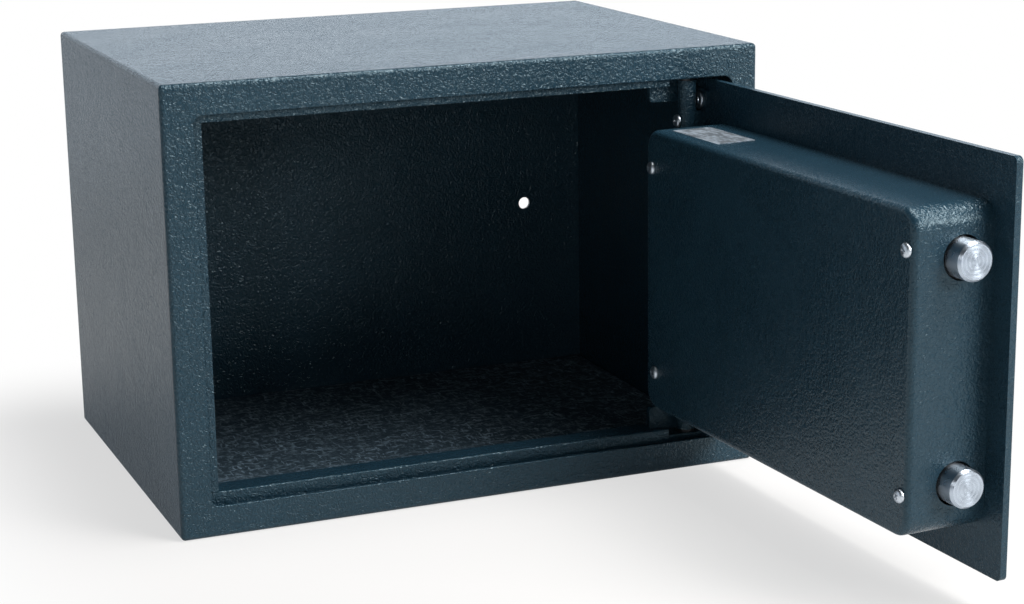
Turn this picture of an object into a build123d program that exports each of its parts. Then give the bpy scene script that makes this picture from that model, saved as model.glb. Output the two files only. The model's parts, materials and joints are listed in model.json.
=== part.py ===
from build123d import *
from math import cos, radians, sin
import os

# A small steel safe with its door standing open. Sizes are millimetres.
# The cabinet's front faces -Y, +X is the hinge side and +Z is up. The origin is the
# middle of the base. Everything on the door is drawn with the door shut, square to the
# axes, and is swung open about the hinge pins just before it is written.

os.makedirs("parts", exist_ok=True)

# Cabinet
width = 350.0
depth = 250.0
height = 250.0
sheet = 2.0
bend_r = 2.5
border = 17.5
border_hinge = 16.0
opening_corner_r = 5.0
opening_edge_r = 0.6
anchor_d = 8.0
anchor_pitch = 265.0
anchor_z = 115.0

# Stop rails that the closed door meets
rail_set_in = 5.5
rail_depth = 16.0
rail_sheet = 2.0
lip_top = 4.5
lip_side = 5.5
lip_bottom = 6.5
rail_end_from_hinge = 15.5
rail_from_corner = 1.0
rail_cope = 9.0

# Floor mat
mat_t = 3.0
mat_gap = 0.5
mat_corner_r = 3.0

# Hinge
hinge_from_opening = 21.5
hinge_set_in = 15.0
open_angle = 92.5
pin_d = 6.0
pin_head_d = 9.0
pin_head_t = 1.5
pin_reach = 20.5
barrel_d = 11.0
barrel_length = 28.0
pin_play = 0.05
arm_t = 4.0
arm_width = 14.0
arm_over_door = 1.0
arm_end_from_pin = 20.5
flange_gap = 0.75
flange_drop = 14.3
flange_corner_r = 2.5
arm_foot = 16.0
foot_from_pin = 14.5
washer_play = 0.2
washer_lift = 0.5
knuckle_foot_w = 8.0
knuckle_foot_h = 10.0
leaf_t = 2.0
leaf_w = 15.0
leaf_h = 23.0
cross_screw_up = 4.5
hinge_nut_up = 16.0
hinge_nut_d = 11.0
hinge_nut_t = 3.0

# Door plate
door_t = 4.0
door_gap = 2.5
door_gap_z = 2.5
door_corner_r = 3.0
door_edge_r = 0.5

# Lock cover on the inside of the door
cover_depth = 45.5
cover_sheet = 1.2
cover_from_hinge = 14.8
cover_from_edge = 15.0
cover_from_top = 23.5
cover_corner_r = 11.0
cover_edge_r = 3.5
cover_hole_play = 1.25
cover_screw_d = 4.0
cover_screw_head_d = 7.5
cover_screw_head_h = 2.5
cover_screw_length = 6.0
cover_screw_free = 5.5
cover_screw_top = 20.0
cover_screw_top_hinge = 21.9
cover_screw_bottom = 22.0
cover_screw_hinge_top = 7.5
cover_screw_hinge_bottom = 11.5
cover_post_d = 7.0
label_w = 50.0
label_h = 24.5
label_t = 0.2
label_from_hinge_side = 16.0
label_from_door = 12.8

# Bolts and their carriage
bolt_d = 20.0
bolt_from_cover_end = 25.5
bolt_length = 55.0
bolt_out = 10.5
bolt_throw = 14.0
bolt_depth = 17.4
bolt_chamfer = 1.2
bolt_play = 0.1
carriage_t = 3.0
carriage_depth = 6.0
carriage_bar_w = 35.0
carriage_end = 12.0
tongue_w = 35.0
tongue_below_knob = 20.0
tongue_above_knob = 25.0
carriage_screw_d = 6.0
carriage_screw_grip = 12.0
guide_sheet = 2.0
guide_wall_in = 14.0
guide_lip_gap = 0.3
guide_over = 12.0
guide_foot = 16.0
guide_post_d = 6.0
guide_post_head_d = 10.0
guide_post_in = 11.0
guide_post_from_end = 19.0
slot_play = 0.2

# Knob, spindle and crank
knob_from_bolts = 29.5
knob_under_middle = 13.0
knob_d = 38.0
knob_skirt_t = 4.0
knob_grip_w = 11.0
knob_grip_t = 14.0
spindle_d = 8.0
bush_d = 14.0
bush_flange_d = 20.0
bush_flange_t = 1.5
running_play = 0.05
crank_angle = 35.0
crank_pin_d = 5.0
crank_pin_play = 0.45
crank_disc_d = 32.0
crank_disc_t = 3.5
crank_disc_gap = 1.0

# Solenoid that blocks the carriage
plunger_from_knob = 16.0
plunger_d = 5.8
plunger_drop = 4.2
plunger_rest_gap = 0.3
plunger_length = 36.0
plunger_collar_d = 10.0
plunger_collar_t = 1.5
plunger_collar_up = 6.0
notch_w = 6.6
notch_play = 0.8
solenoid_w = 20.0
solenoid_h = 30.0
solenoid_wall = 2.0
solenoid_up = 14.0
coil_d = 13.0
spring_wire = 0.5
spring_r = 3.7
spring_turns = 3.5

# Emergency key lock and its swivel cover
cylinder_from_knob = 38.0
cylinder_from_fascia_top = 26.0
cylinder_d = 18.0
plug_d = 11.0
cylinder_reach = 9.0
clip_d = 22.0
clip_t = 1.5
keyway_w = 1.8
keyway_h = 7.5
keyway_deep = 8.0
cam_length = 26.0
cam_w = 5.0
cam_t = 2.0
cam_rest_angle = 319.0
cap_r = 11.5
cap_pivot_up = 17.0
cap_pivot_r = 5.0
cap_t = 2.2
cap_gap = 0.3
cap_pin_d = 3.0

# Keypad housing on the outside of the door
fascia_w = 155.0
fascia_h = 105.0
fascia_left_of_knob = 29.0
fascia_under_knob = 32.0
fascia_t = 12.0
fascia_wall = 2.2
fascia_corner_r = 12.0
fascia_edge_r = 3.0
fascia_draft = 4.0
fascia_hole_play = 0.3
fascia_boss_d = 7.0
fascia_screw_d = 3.5
fascia_screw_head_d = 6.5
fascia_screw_bite = 6.0
fascia_screw_in_left = 20.0
fascia_screw_in_right = 5.5
fascia_screw_in_top = 18.0
fascia_screw_in_bottom = 8.0
key_w = 12.0
key_h = 11.5
key_r = 2.0
key_pitch = 15.0
key_proud = 1.2
key_travel = 1.0
key_flange = 0.8
key_flange_t = 1.1
key_stem = 1.6
keypad_from_fascia_right = 32.0
keypad_from_fascia_top = 57.5
key_names = ("1", "2", "3", "4", "5", "6", "7", "8", "9", "clear", "0", "enter")
key_columns = 3
board_t = 1.5
board_gap = 1.5
board_w = 45.0
board_h = 68.0
board_boss_d = 4.0
board_boss_in = 2.5
lens_d = 3.5
lens_over_keypad = 42.5
lens_proud = 0.4
cable_slot_w = 14.0
cable_slot_h = 5.0

# Electronics and batteries behind the cover
circuit_w = 46.0
circuit_h = 54.0
circuit_from_hinge_side = 19.3
circuit_from_top = 8.0
circuit_lift = 6.0
spacer_d = 5.0
spacer_in = 4.0
component_in = 13.0
component_row_in = 7.0
chip_w = 10.0
chip_h = 16.0
chip_t = 2.5
can_d = 8.0
can_t = 11.0
can_pitch = 12.0
socket_w = 12.0
socket_h = 7.0
socket_t = 6.0
buzzer_d = 12.0
buzzer_t = 8.0
cell_d = 14.2
cell_length = 50.5
cell_pitch = 15.2
cell_rows = 2
cell_layers = 2
cell_layer_gap = 0.3
cell_nub_d = 5.5
cell_nub = 1.0
case_wall = 1.5
case_end_room = 5.0
case_from_hinge_side = 6.0
case_over_screw = 4.0
case_shown = 3.0
lead_d = 1.6
lead_clearance = 0.2
lead_bend_r = 3.0

# Places worked out from the sizes above
front = -depth / 2
back = depth / 2
opening_left = -width / 2 + border
opening_right = width / 2 - border_hinge
opening_w = opening_right - opening_left
opening_x = (opening_left + opening_right) / 2
opening_h = height - 2 * border
middle_z = height / 2
inner_half = width / 2 - sheet
hinge_x = opening_right - hinge_from_opening
hinge_y = front + hinge_set_in
door_left = opening_left + door_gap
door_right = opening_right - door_gap
door_w = door_right - door_left
door_h = opening_h - 2 * door_gap_z
door_top = middle_z + door_h / 2
door_back = front + door_t
pin_offset = hinge_set_in - door_t
cover_left = door_left + cover_from_edge
cover_right = hinge_x - cover_from_hinge
cover_w = cover_right - cover_left
cover_x = (cover_left + cover_right) / 2
cover_top = door_top - cover_from_top
cover_bottom = height - cover_top
cover_h = cover_top - cover_bottom
cover_inside = cover_depth - cover_sheet
cover_screws_at = (
    (cover_left + cover_screw_free, cover_top - cover_screw_top),
    (cover_left + cover_screw_free, cover_bottom + cover_screw_bottom),
    (cover_right - cover_screw_hinge_top, cover_top - cover_screw_top_hinge),
    (cover_right - cover_screw_hinge_bottom, cover_bottom + cover_screw_bottom),
)
bolt_z = (cover_bottom + bolt_from_cover_end, cover_top - bolt_from_cover_end)
bolt_tip = cover_left - bolt_out
bolt_rear = bolt_tip + bolt_length
knob_x = bolt_rear + knob_from_bolts
knob_z = middle_z - knob_under_middle
plunger_x = knob_x + plunger_from_knob
fascia_x = knob_x - fascia_left_of_knob + fascia_w / 2
fascia_z = knob_z - fascia_under_knob + fascia_h / 2
cylinder_x = knob_x + cylinder_from_knob
cylinder_z = fascia_z + fascia_h / 2 - cylinder_from_fascia_top
keypad_x = fascia_x + fascia_w / 2 - keypad_from_fascia_right
keypad_z = fascia_z + fascia_h / 2 - keypad_from_fascia_top
bar_right = bolt_rear + carriage_bar_w
tongue_right = bar_right + tongue_w
tongue_top = knob_z + tongue_above_knob
tongue_bottom = knob_z - tongue_below_knob
carriage_top = bolt_z[1] + carriage_end
carriage_bottom = bolt_z[0] - carriage_end
carriage_mid = carriage_depth + carriage_t / 2
crank_r = bolt_throw / (2 * sin(radians(crank_angle)))
crank_pin_x = knob_x + bolt_throw / 2
crank_pin_z = knob_z + crank_r * cos(radians(crank_angle))
post_x = bolt_rear + guide_post_in
post_z = (carriage_bottom + guide_post_from_end, carriage_top - guide_post_from_end)
fascia_front = front - fascia_t
fascia_inside = fascia_front + fascia_wall
board_front = fascia_inside + key_flange_t + key_stem + key_travel + board_gap - key_travel
plunger_tip = tongue_top + plunger_rest_gap
collar_z = plunger_tip + plunger_collar_up
solenoid_z = tongue_top + solenoid_up + solenoid_h / 2
cap_pivot_z = cylinder_z + cap_pivot_up
circuit_x = cover_right - circuit_from_hinge_side - circuit_w / 2
circuit_z = cover_top - circuit_from_top - circuit_h / 2
centre_base = (Align.CENTER, Align.CENTER, Align.MIN)

cabinet_pieces = []
door_pieces = []


# A plane on the door that looks into the safe; d is its distance behind the door plate.
def inward(x, d, z):
    return Plane(origin=(x, door_back + d, z), x_dir=(1, 0, 0), z_dir=(0, 1, 0))


# A plane on the door that looks out to the user, at depth y.
def outward(x, y, z):
    return Plane(origin=(x, y, z), x_dir=(1, 0, 0), z_dir=(0, -1, 0))


# An upright plane across the safe at depth y, drawn as seen from the front.
def upright(y):
    return Plane.XZ.offset(-y)


# A pan-head screw that stands on its head's seat.
def pan_screw(head_d, head_h, shank_d, shank_length):
    rim = head_h * 0.35
    with BuildPart() as screw:
        with BuildSketch(Plane.XZ):
            with BuildLine():
                Polyline((0, head_h), (0, -shank_length), (shank_d / 2, -shank_length),
                         (shank_d / 2, 0), (head_d / 2, 0), (head_d / 2, rim),
                         (head_d * 0.43, head_h * 0.75), (head_d * 0.3, head_h), close=True)
            make_face()
        revolve(axis=Axis.Z)
    return screw.part


# Cabinet wrap: four walls and the front border in one folded sheet, open at the back.
with BuildPart() as body_wrap:
    with BuildSketch(upright(front)):
        with Locations((0, middle_z)):
            RectangleRounded(width, height, bend_r)
    extrude(amount=-depth)
    fillet(body_wrap.faces().sort_by(Axis.Y)[0].edges(), bend_r)
    with BuildSketch(upright(back)):
        with Locations((0, middle_z)):
            RectangleRounded(width - 2 * sheet, height - 2 * sheet, bend_r - sheet)
    extrude(amount=depth - sheet, mode=Mode.SUBTRACT)
    with BuildSketch(upright(front)):
        with Locations((opening_x, middle_z)):
            RectangleRounded(opening_w, opening_h, opening_corner_r)
    extrude(amount=-sheet, mode=Mode.SUBTRACT)
    fillet(body_wrap.faces().sort_by(Axis.Y)[0].inner_wires()[0].edges(), opening_edge_r)
body_wrap.part.label = "body_wrap"
cabinet_pieces.append(body_wrap.part)

# Back panel, welded in flush, with the two wall anchor holes.
with BuildPart() as back_panel:
    with BuildSketch(upright(back - sheet)):
        with Locations((0, middle_z)):
            RectangleRounded(width - 2 * sheet, height - 2 * sheet, bend_r - sheet)
        with Locations((-anchor_pitch / 2, anchor_z), (anchor_pitch / 2, anchor_z)):
            Circle(anchor_d / 2, mode=Mode.SUBTRACT)
    extrude(amount=-sheet)
back_panel.part.label = "back_panel"
cabinet_pieces.append(back_panel.part)

# Stop rails. The top and side ones are angles, the bottom one is a channel whose flanges
# are cut back to clear the hinge bracket.
rail_y = front + rail_set_in
rail_end = hinge_x - rail_end_from_hinge
rail_start = -inner_half + rail_from_corner
rail_length = rail_end - rail_start
top_lip_z = height - border - lip_top
bottom_lip_z = border + lip_bottom
side_lip_x = opening_left + lip_side

with BuildPart() as stop_rail_top:
    with BuildSketch(Plane.YZ.offset(rail_start)):
        with Locations((rail_y, height - sheet)):
            Rectangle(rail_depth, rail_sheet, align=(Align.MIN, Align.MAX))
            Rectangle(rail_sheet, height - sheet - top_lip_z, align=(Align.MIN, Align.MAX))
    extrude(amount=rail_length)
stop_rail_top.part.label = "stop_rail_top"
cabinet_pieces.append(stop_rail_top.part)

with BuildPart() as stop_rail_bottom:
    with BuildSketch(Plane.YZ.offset(rail_start)):
        with Locations((rail_y, sheet)):
            Rectangle(rail_depth, bottom_lip_z - sheet, align=(Align.MIN, Align.MIN))
        with Locations((rail_y + rail_sheet, sheet)):
            Rectangle(rail_depth - 2 * rail_sheet, bottom_lip_z - sheet - rail_sheet,
                      align=(Align.MIN, Align.MIN), mode=Mode.SUBTRACT)
    extrude(amount=rail_length)
    fillet(stop_rail_bottom.faces().sort_by(Axis.Z)[-1].edges().filter_by(Axis.X), rail_sheet / 2)
    with BuildSketch(Plane.XY.offset(sheet)):
        with Locations((rail_end, rail_y + rail_sheet)):
            Rectangle(rail_cope, rail_depth, align=(Align.MAX, Align.MIN))
    extrude(amount=bottom_lip_z, mode=Mode.SUBTRACT)
stop_rail_bottom.part.label = "stop_rail_bottom"
cabinet_pieces.append(stop_rail_bottom.part)

with BuildPart() as stop_rail_side:
    with BuildSketch(Plane.XY.offset(bottom_lip_z)):
        with Locations((-inner_half, rail_y)):
            Rectangle(side_lip_x + inner_half, rail_sheet, align=(Align.MIN, Align.MIN))
            Rectangle(rail_sheet, rail_depth, align=(Align.MIN, Align.MIN))
    extrude(amount=top_lip_z - bottom_lip_z)
stop_rail_side.part.label = "stop_rail_side"
cabinet_pieces.append(stop_rail_side.part)

# Hinge brackets: a folded strap whose foot is welded to the wall and whose arm carries the
# pin. A flange behind the barrel is turned towards the middle of the safe.
arm_z = door_top + arm_over_door + arm_t / 2
arm_left = hinge_x - arm_end_from_pin
arm_foot_x = hinge_x + foot_from_pin
flange_y = hinge_y + barrel_d / 2 + flange_gap
with BuildPart() as hinge_bracket_top:
    with BuildSketch(upright(hinge_y - arm_width / 2)):
        with BuildLine() as strap:
            FilletPolyline(
                (arm_foot_x + arm_foot, height - sheet - arm_t / 2),
                (arm_foot_x, height - sheet - arm_t / 2),
                (arm_foot_x, arm_z),
                (arm_left, arm_z),
                radius=arm_t / 2 + 1,
            )
        trace(strap.line, line_width=arm_t)
    extrude(amount=-arm_width)
    with BuildSketch(Plane.YZ.offset(arm_left)) as flange_section:
        with Locations((hinge_y, arm_z + arm_t / 2)):
            Rectangle(flange_y + arm_t - hinge_y, arm_t, align=(Align.MIN, Align.MAX))
        with Locations((flange_y, arm_z + arm_t / 2)):
            Rectangle(arm_t, arm_t + flange_drop, align=(Align.MIN, Align.MAX))
        outer_bend = flange_section.vertices().group_by(Axis.Y)[-1].sort_by(Axis.X)[-1]
        fillet(outer_bend, arm_t * 0.75)
    extrude(amount=hinge_x - arm_left)
    flange_end = hinge_bracket_top.faces().filter_by(Axis.Z).sort_by(Axis.Z)[0]
    fillet(flange_end.edges().filter_by(Axis.Y), flange_corner_r)
    with Locations((hinge_x, hinge_y, arm_z)):
        Hole(pin_d / 2, depth=arm_t)
hinge_bracket_top.part.label = "hinge_bracket_top"
cabinet_pieces.append(hinge_bracket_top.part)

with BuildPart() as hinge_bracket_bottom:
    mirror(hinge_bracket_top.part, about=Plane.XY.offset(middle_z))
hinge_bracket_bottom.part.label = "hinge_bracket_bottom"
cabinet_pieces.append(hinge_bracket_bottom.part)

# Hinge pins, with a head that keeps each one in its arm.
pin_top = arm_z + arm_t / 2
with BuildPart() as hinge_pins:
    with BuildSketch(Plane.XY.offset(door_top - washer_lift - pin_reach)):
        with Locations((hinge_x, hinge_y)):
            Circle(pin_d / 2)
    extrude(amount=pin_top - door_top + washer_lift + pin_reach)
    with BuildSketch(Plane.XY.offset(pin_top)):
        with Locations((hinge_x, hinge_y)):
            Circle(pin_head_d / 2)
    extrude(amount=pin_head_t)
    mirror(about=Plane.XY.offset(middle_z))
hinge_pins.part.label = "hinge_pins"
cabinet_pieces.append(hinge_pins.part)

# Washers between the arms and the knuckles.
with BuildPart() as hinge_washers:
    with BuildSketch(Plane.XY.offset(door_top - washer_lift + washer_play)):
        with Locations((hinge_x, hinge_y)):
            Circle(barrel_d / 2)
            Circle(pin_d / 2, mode=Mode.SUBTRACT)
    extrude(amount=arm_over_door + washer_lift - washer_play)
    mirror(about=Plane.XY.offset(middle_z))
hinge_washers.part.label = "hinge_washers"
cabinet_pieces.append(hinge_washers.part)

# Felt mat, laid on the floor behind the bottom rail.
mat_front = rail_y + rail_depth + mat_gap
mat_back = back - sheet - mat_gap
mat_w = width - 2 * sheet - 2 * mat_gap
with BuildPart() as floor_mat:
    with BuildSketch(Plane.XY.offset(sheet)):
        with Locations((0, (mat_front + mat_back) / 2)):
            RectangleRounded(mat_w, mat_back - mat_front, mat_corner_r)
    extrude(amount=mat_t)
floor_mat.part.label = "floor_mat"
cabinet_pieces.append(floor_mat.part)

# Door plate, with its holes for the bush, the lock cylinder, the cable and the screws.
fascia_screw_x = (fascia_x - fascia_w / 2 + fascia_screw_in_left,
                  fascia_x + fascia_w / 2 - fascia_screw_in_right)
fascia_screw_z = (fascia_z - fascia_h / 2 + fascia_screw_in_bottom,
                  fascia_z + fascia_h / 2 - fascia_screw_in_top)
fascia_screws_at = [(x, z) for x in fascia_screw_x for z in fascia_screw_z]
cable_slot_at = (keypad_x, keypad_z)
knuckle_z = door_top - washer_lift - barrel_length
cross_screw_z = knuckle_z + cross_screw_up
hinge_nut_z = knuckle_z + hinge_nut_up
with BuildPart() as door_plate:
    with BuildSketch(upright(front)):
        with Locations(((door_left + door_right) / 2, middle_z)):
            RectangleRounded(door_w, door_h, door_corner_r)
        with Locations((knob_x, knob_z)):
            Circle(bush_d / 2, mode=Mode.SUBTRACT)
        with Locations((cylinder_x, cylinder_z)):
            Circle(cylinder_d / 2, mode=Mode.SUBTRACT)
        with Locations(*fascia_screws_at):
            Circle(fascia_screw_d / 2, mode=Mode.SUBTRACT)
        with Locations(cable_slot_at):
            SlotOverall(cable_slot_w, cable_slot_h, mode=Mode.SUBTRACT)
    extrude(amount=-door_t)
    fillet(door_plate.faces().sort_by(Axis.Y)[0].outer_wire().edges(), door_edge_r)
    with Locations(inward(hinge_x, 0, cross_screw_z), inward(hinge_x, 0, height - cross_screw_z)):
        Hole(cover_screw_d / 2, depth=door_t / 2)
door_plate.part.label = "door_plate"
door_pieces.append(door_plate.part)

# Hinge knuckles: a barrel bored for the pin, a foot that reaches the door plate and a leaf
# that lies on it.
with BuildPart() as hinge_knuckle_top:
    with BuildSketch(Plane.XY.offset(knuckle_z)):
        with Locations((hinge_x, hinge_y)):
            Circle(barrel_d / 2)
    extrude(amount=barrel_length)
    with BuildSketch(Plane.XY.offset(knuckle_z)):
        with Locations((hinge_x, door_back)):
            Rectangle(knuckle_foot_w, pin_offset, align=(Align.CENTER, Align.MIN))
    extrude(amount=knuckle_foot_h)
    with BuildSketch(inward(hinge_x, 0, knuckle_z + leaf_h / 2)):
        RectangleRounded(leaf_w, leaf_h, door_corner_r)
    extrude(amount=leaf_t)
    with BuildSketch(Plane.XY.offset(knuckle_z + barrel_length)):
        with Locations((hinge_x, hinge_y)):
            Circle(pin_d / 2 + pin_play)
    extrude(amount=-pin_reach - washer_lift, mode=Mode.SUBTRACT)
    with Locations(inward(hinge_x, pin_offset + barrel_d / 2, cross_screw_z)):
        Hole(cover_screw_d / 2, depth=pin_offset + barrel_d / 2)
hinge_knuckle_top.part.label = "hinge_knuckle_top"
door_pieces.append(hinge_knuckle_top.part)

with BuildPart() as hinge_knuckle_bottom:
    mirror(hinge_knuckle_top.part, about=Plane.XY.offset(middle_z))
hinge_knuckle_bottom.part.label = "hinge_knuckle_bottom"
door_pieces.append(hinge_knuckle_bottom.part)

# Screws that run through each knuckle into the door plate.
hinge_screw = pan_screw(cover_screw_head_d, cover_screw_head_h, cover_screw_d,
                        pin_offset + barrel_d / 2 + door_t / 2)
with BuildPart() as hinge_screws:
    with Locations(inward(hinge_x, pin_offset + barrel_d / 2, cross_screw_z),
                   inward(hinge_x, pin_offset + barrel_d / 2, height - cross_screw_z)):
        add(hinge_screw)
hinge_screws.part.label = "hinge_screws"
door_pieces.append(hinge_screws.part)

# Low cap nuts that clamp the leaves, behind the barrels.
with BuildPart() as hinge_nuts:
    for nut_z in (hinge_nut_z, height - hinge_nut_z):
        with BuildSketch(inward(hinge_x, leaf_t, nut_z)):
            Circle(hinge_nut_d / 2)
        extrude(amount=hinge_nut_t)
    nut_tops = hinge_nuts.faces().filter_by(Axis.Y).group_by(Axis.Y)[-1]
    chamfer(nut_tops.edges(), hinge_nut_t * 0.4)
hinge_nuts.part.label = "hinge_nuts"
door_pieces.append(hinge_nuts.part)

# Lock cover: a drawn steel box with soft corners, pierced for the bolts and its screws.
with BuildPart() as lock_cover:
    with BuildSketch(upright(door_back)):
        with Locations((cover_x, middle_z)):
            RectangleRounded(cover_w, cover_h, cover_corner_r)
    extrude(amount=-cover_depth)
    fillet(lock_cover.faces().sort_by(Axis.Y)[-1].edges(), cover_edge_r)
    offset(amount=-cover_sheet, openings=lock_cover.faces().sort_by(Axis.Y)[0])
    with BuildSketch(Plane.YZ.offset(cover_left)):
        for hole_z in bolt_z:
            with Locations((door_back + bolt_depth, hole_z)):
                Circle(bolt_d / 2 + cover_hole_play)
    extrude(amount=cover_sheet, mode=Mode.SUBTRACT)
    with BuildSketch(upright(door_back + cover_depth)):
        with Locations(*cover_screws_at):
            Circle(cover_screw_d / 2)
    extrude(amount=cover_sheet, mode=Mode.SUBTRACT)
lock_cover.part.label = "lock_cover"
door_pieces.append(lock_cover.part)

cover_screw = pan_screw(cover_screw_head_d, cover_screw_head_h, cover_screw_d, cover_screw_length)
with BuildPart() as cover_screws:
    with Locations(*[inward(x, cover_depth, z) for x, z in cover_screws_at]):
        add(cover_screw)
cover_screws.part.label = "cover_screws"
door_pieces.append(cover_screws.part)

# Posts under the two hinge-side cover screws.
with BuildPart() as cover_posts:
    for post_x_hex, post_z_hex in cover_screws_at[2:]:
        with BuildSketch(inward(post_x_hex, 0, post_z_hex)):
            RegularPolygon(cover_post_d / 2, 6, major_radius=False, rotation=30)
            Circle(cover_screw_d / 2, mode=Mode.SUBTRACT)
        extrude(amount=cover_inside)
cover_posts.part.label = "cover_posts"
door_pieces.append(cover_posts.part)

# Bare silver label on top of the cover.
with BuildPart() as cover_label:
    with BuildSketch(Plane.XY.offset(cover_top)):
        with Locations((cover_right - label_from_hinge_side - label_w / 2,
                        door_back + label_from_door + label_h / 2)):
            RectangleRounded(label_w, label_h, 1)
    extrude(amount=label_t)
cover_label.part.label = "cover_label"
door_pieces.append(cover_label.part)

# Bolt guide: a folded wall that carries both bolts, with a lip for the cover screws.
guide_wall_x = cover_left + guide_wall_in
guide_bottom = bolt_z[0] - guide_over
guide_h = bolt_z[1] - bolt_z[0] + 2 * guide_over
guide_top_d = cover_inside - guide_lip_gap
with BuildPart() as bolt_guide:
    with BuildSketch(Plane.XY.offset(guide_bottom)):
        with Locations((guide_wall_x, door_back)):
            Rectangle(guide_sheet, guide_top_d, align=(Align.MIN, Align.MIN))
            Rectangle(guide_foot, guide_sheet, align=(Align.MIN, Align.MIN))
        with Locations((guide_wall_x + guide_sheet, door_back + guide_top_d)):
            Rectangle(guide_wall_in + guide_sheet - cover_sheet - cover_edge_r / 2, guide_sheet,
                      align=(Align.MAX, Align.MAX))
    extrude(amount=guide_h)
    with BuildSketch(Plane.YZ.offset(guide_wall_x)):
        for hole_z in bolt_z:
            with Locations((door_back + bolt_depth, hole_z)):
                Circle(bolt_d / 2 + bolt_play)
    extrude(amount=guide_sheet, mode=Mode.SUBTRACT)
    with BuildSketch(upright(door_back + cover_inside)):
        with Locations(*cover_screws_at[:2]):
            Circle(cover_screw_d / 2)
    extrude(amount=guide_sheet + guide_lip_gap, mode=Mode.SUBTRACT)
bolt_guide.part.label = "bolt_guide"
door_pieces.append(bolt_guide.part)

# Headed posts that the carriage slides along.
with BuildPart() as guide_posts:
    for z in post_z:
        with BuildSketch(inward(post_x, 0, z)):
            Circle(guide_post_d / 2)
        extrude(amount=carriage_depth + carriage_t + slot_play)
        with BuildSketch(inward(post_x, carriage_depth + carriage_t + slot_play, z)):
            Circle(guide_post_head_d / 2)
        extrude(amount=guide_sheet)
        with BuildSketch(inward(post_x, 0, z)):
            Circle(guide_post_head_d / 2)
        extrude(amount=carriage_depth - slot_play)
guide_posts.part.label = "guide_posts"
door_pieces.append(guide_posts.part)

# Bolt carriage: a slotted plate with two turned-up ends, one behind each bolt.
notch_from_top = plunger_drop - plunger_rest_gap + notch_play
slot_length = bolt_throw + guide_post_d + 2 * slot_play
with BuildPart() as bolt_carriage:
    with BuildSketch(upright(door_back + carriage_depth)):
        with Locations((bolt_rear, carriage_bottom)):
            Rectangle(carriage_bar_w, carriage_top - carriage_bottom, align=(Align.MIN, Align.MIN))
        with Locations((bolt_rear, tongue_bottom)):
            Rectangle(tongue_right - bolt_rear, tongue_top - tongue_bottom,
                      align=(Align.MIN, Align.MIN))
        with Locations(*[(post_x + bolt_throw / 2, z) for z in post_z]):
            SlotOverall(slot_length, guide_post_d + 2 * slot_play, mode=Mode.SUBTRACT)
        with Locations((crank_pin_x, (crank_pin_z + knob_z + crank_r) / 2)):
            SlotOverall(knob_z + crank_r - crank_pin_z + crank_pin_d + 2 * crank_pin_play,
                        crank_pin_d + 2 * crank_pin_play, rotation=90, mode=Mode.SUBTRACT)
        with Locations((plunger_x, tongue_top), (plunger_x + bolt_throw, tongue_top)):
            Rectangle(notch_w, notch_from_top, align=(Align.CENTER, Align.MAX), mode=Mode.SUBTRACT)
    extrude(amount=-carriage_t)
    for z in bolt_z:
        with BuildSketch(Plane.YZ.offset(bolt_rear)):
            with Locations((door_back + carriage_depth, z)):
                Rectangle(bolt_depth + bolt_d / 2 - carriage_depth, 2 * carriage_end,
                          align=(Align.MIN, Align.CENTER))
        extrude(amount=carriage_t)
    with BuildSketch(Plane.YZ.offset(bolt_rear)):
        with Locations(*[(door_back + bolt_depth, z) for z in bolt_z]):
            Circle(carriage_screw_d / 2)
    extrude(amount=carriage_t, mode=Mode.SUBTRACT)
bolt_carriage.part.label = "bolt_carriage"
door_pieces.append(bolt_carriage.part)

# Round steel bolts with a bevelled nose and a tapped hole in the rear end.
for name, z in zip(("bolt_lower", "bolt_upper"), bolt_z):
    with BuildPart() as bolt:
        with BuildSketch(Plane.YZ.offset(bolt_tip)):
            with Locations((door_back + bolt_depth, z)):
                Circle(bolt_d / 2)
        extrude(amount=bolt_length)
        chamfer(bolt.faces().sort_by(Axis.X)[0].edges(), bolt_chamfer)
        with BuildSketch(Plane.YZ.offset(bolt_rear)):
            with Locations((door_back + bolt_depth, z)):
                Circle(carriage_screw_d / 2)
        extrude(amount=-carriage_screw_grip, mode=Mode.SUBTRACT)
    bolt.part.label = name
    door_pieces.append(bolt.part)

# Screws that hold the bolts to the carriage's ends.
bolt_screw = pan_screw(carriage_screw_d * 1.7, carriage_screw_d * 0.55, carriage_screw_d,
                       carriage_t + carriage_screw_grip)
with BuildPart() as bolt_screws:
    with Locations(*[Plane(origin=(bolt_rear + carriage_t, door_back + bolt_depth, z),
                           x_dir=(0, 1, 0), z_dir=(1, 0, 0)) for z in bolt_z]):
        add(bolt_screw)
bolt_screws.part.label = "bolt_screws"
door_pieces.append(bolt_screws.part)

# Spindle bush in the door plate.
bush_end = door_t + crank_disc_gap / 2
with BuildPart() as spindle_bush:
    with Locations(outward(knob_x, front + bush_end, knob_z)):
        Cylinder(bush_d / 2, bush_end, align=centre_base)
    with Locations(outward(knob_x, front, knob_z)):
        Cylinder(bush_flange_d / 2, bush_flange_t, align=centre_base)
    with Locations(outward(knob_x, front - bush_flange_t, knob_z)):
        Hole(spindle_d / 2 + running_play, depth=bush_end + bush_flange_t)
spindle_bush.part.label = "spindle_bush"
door_pieces.append(spindle_bush.part)

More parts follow.
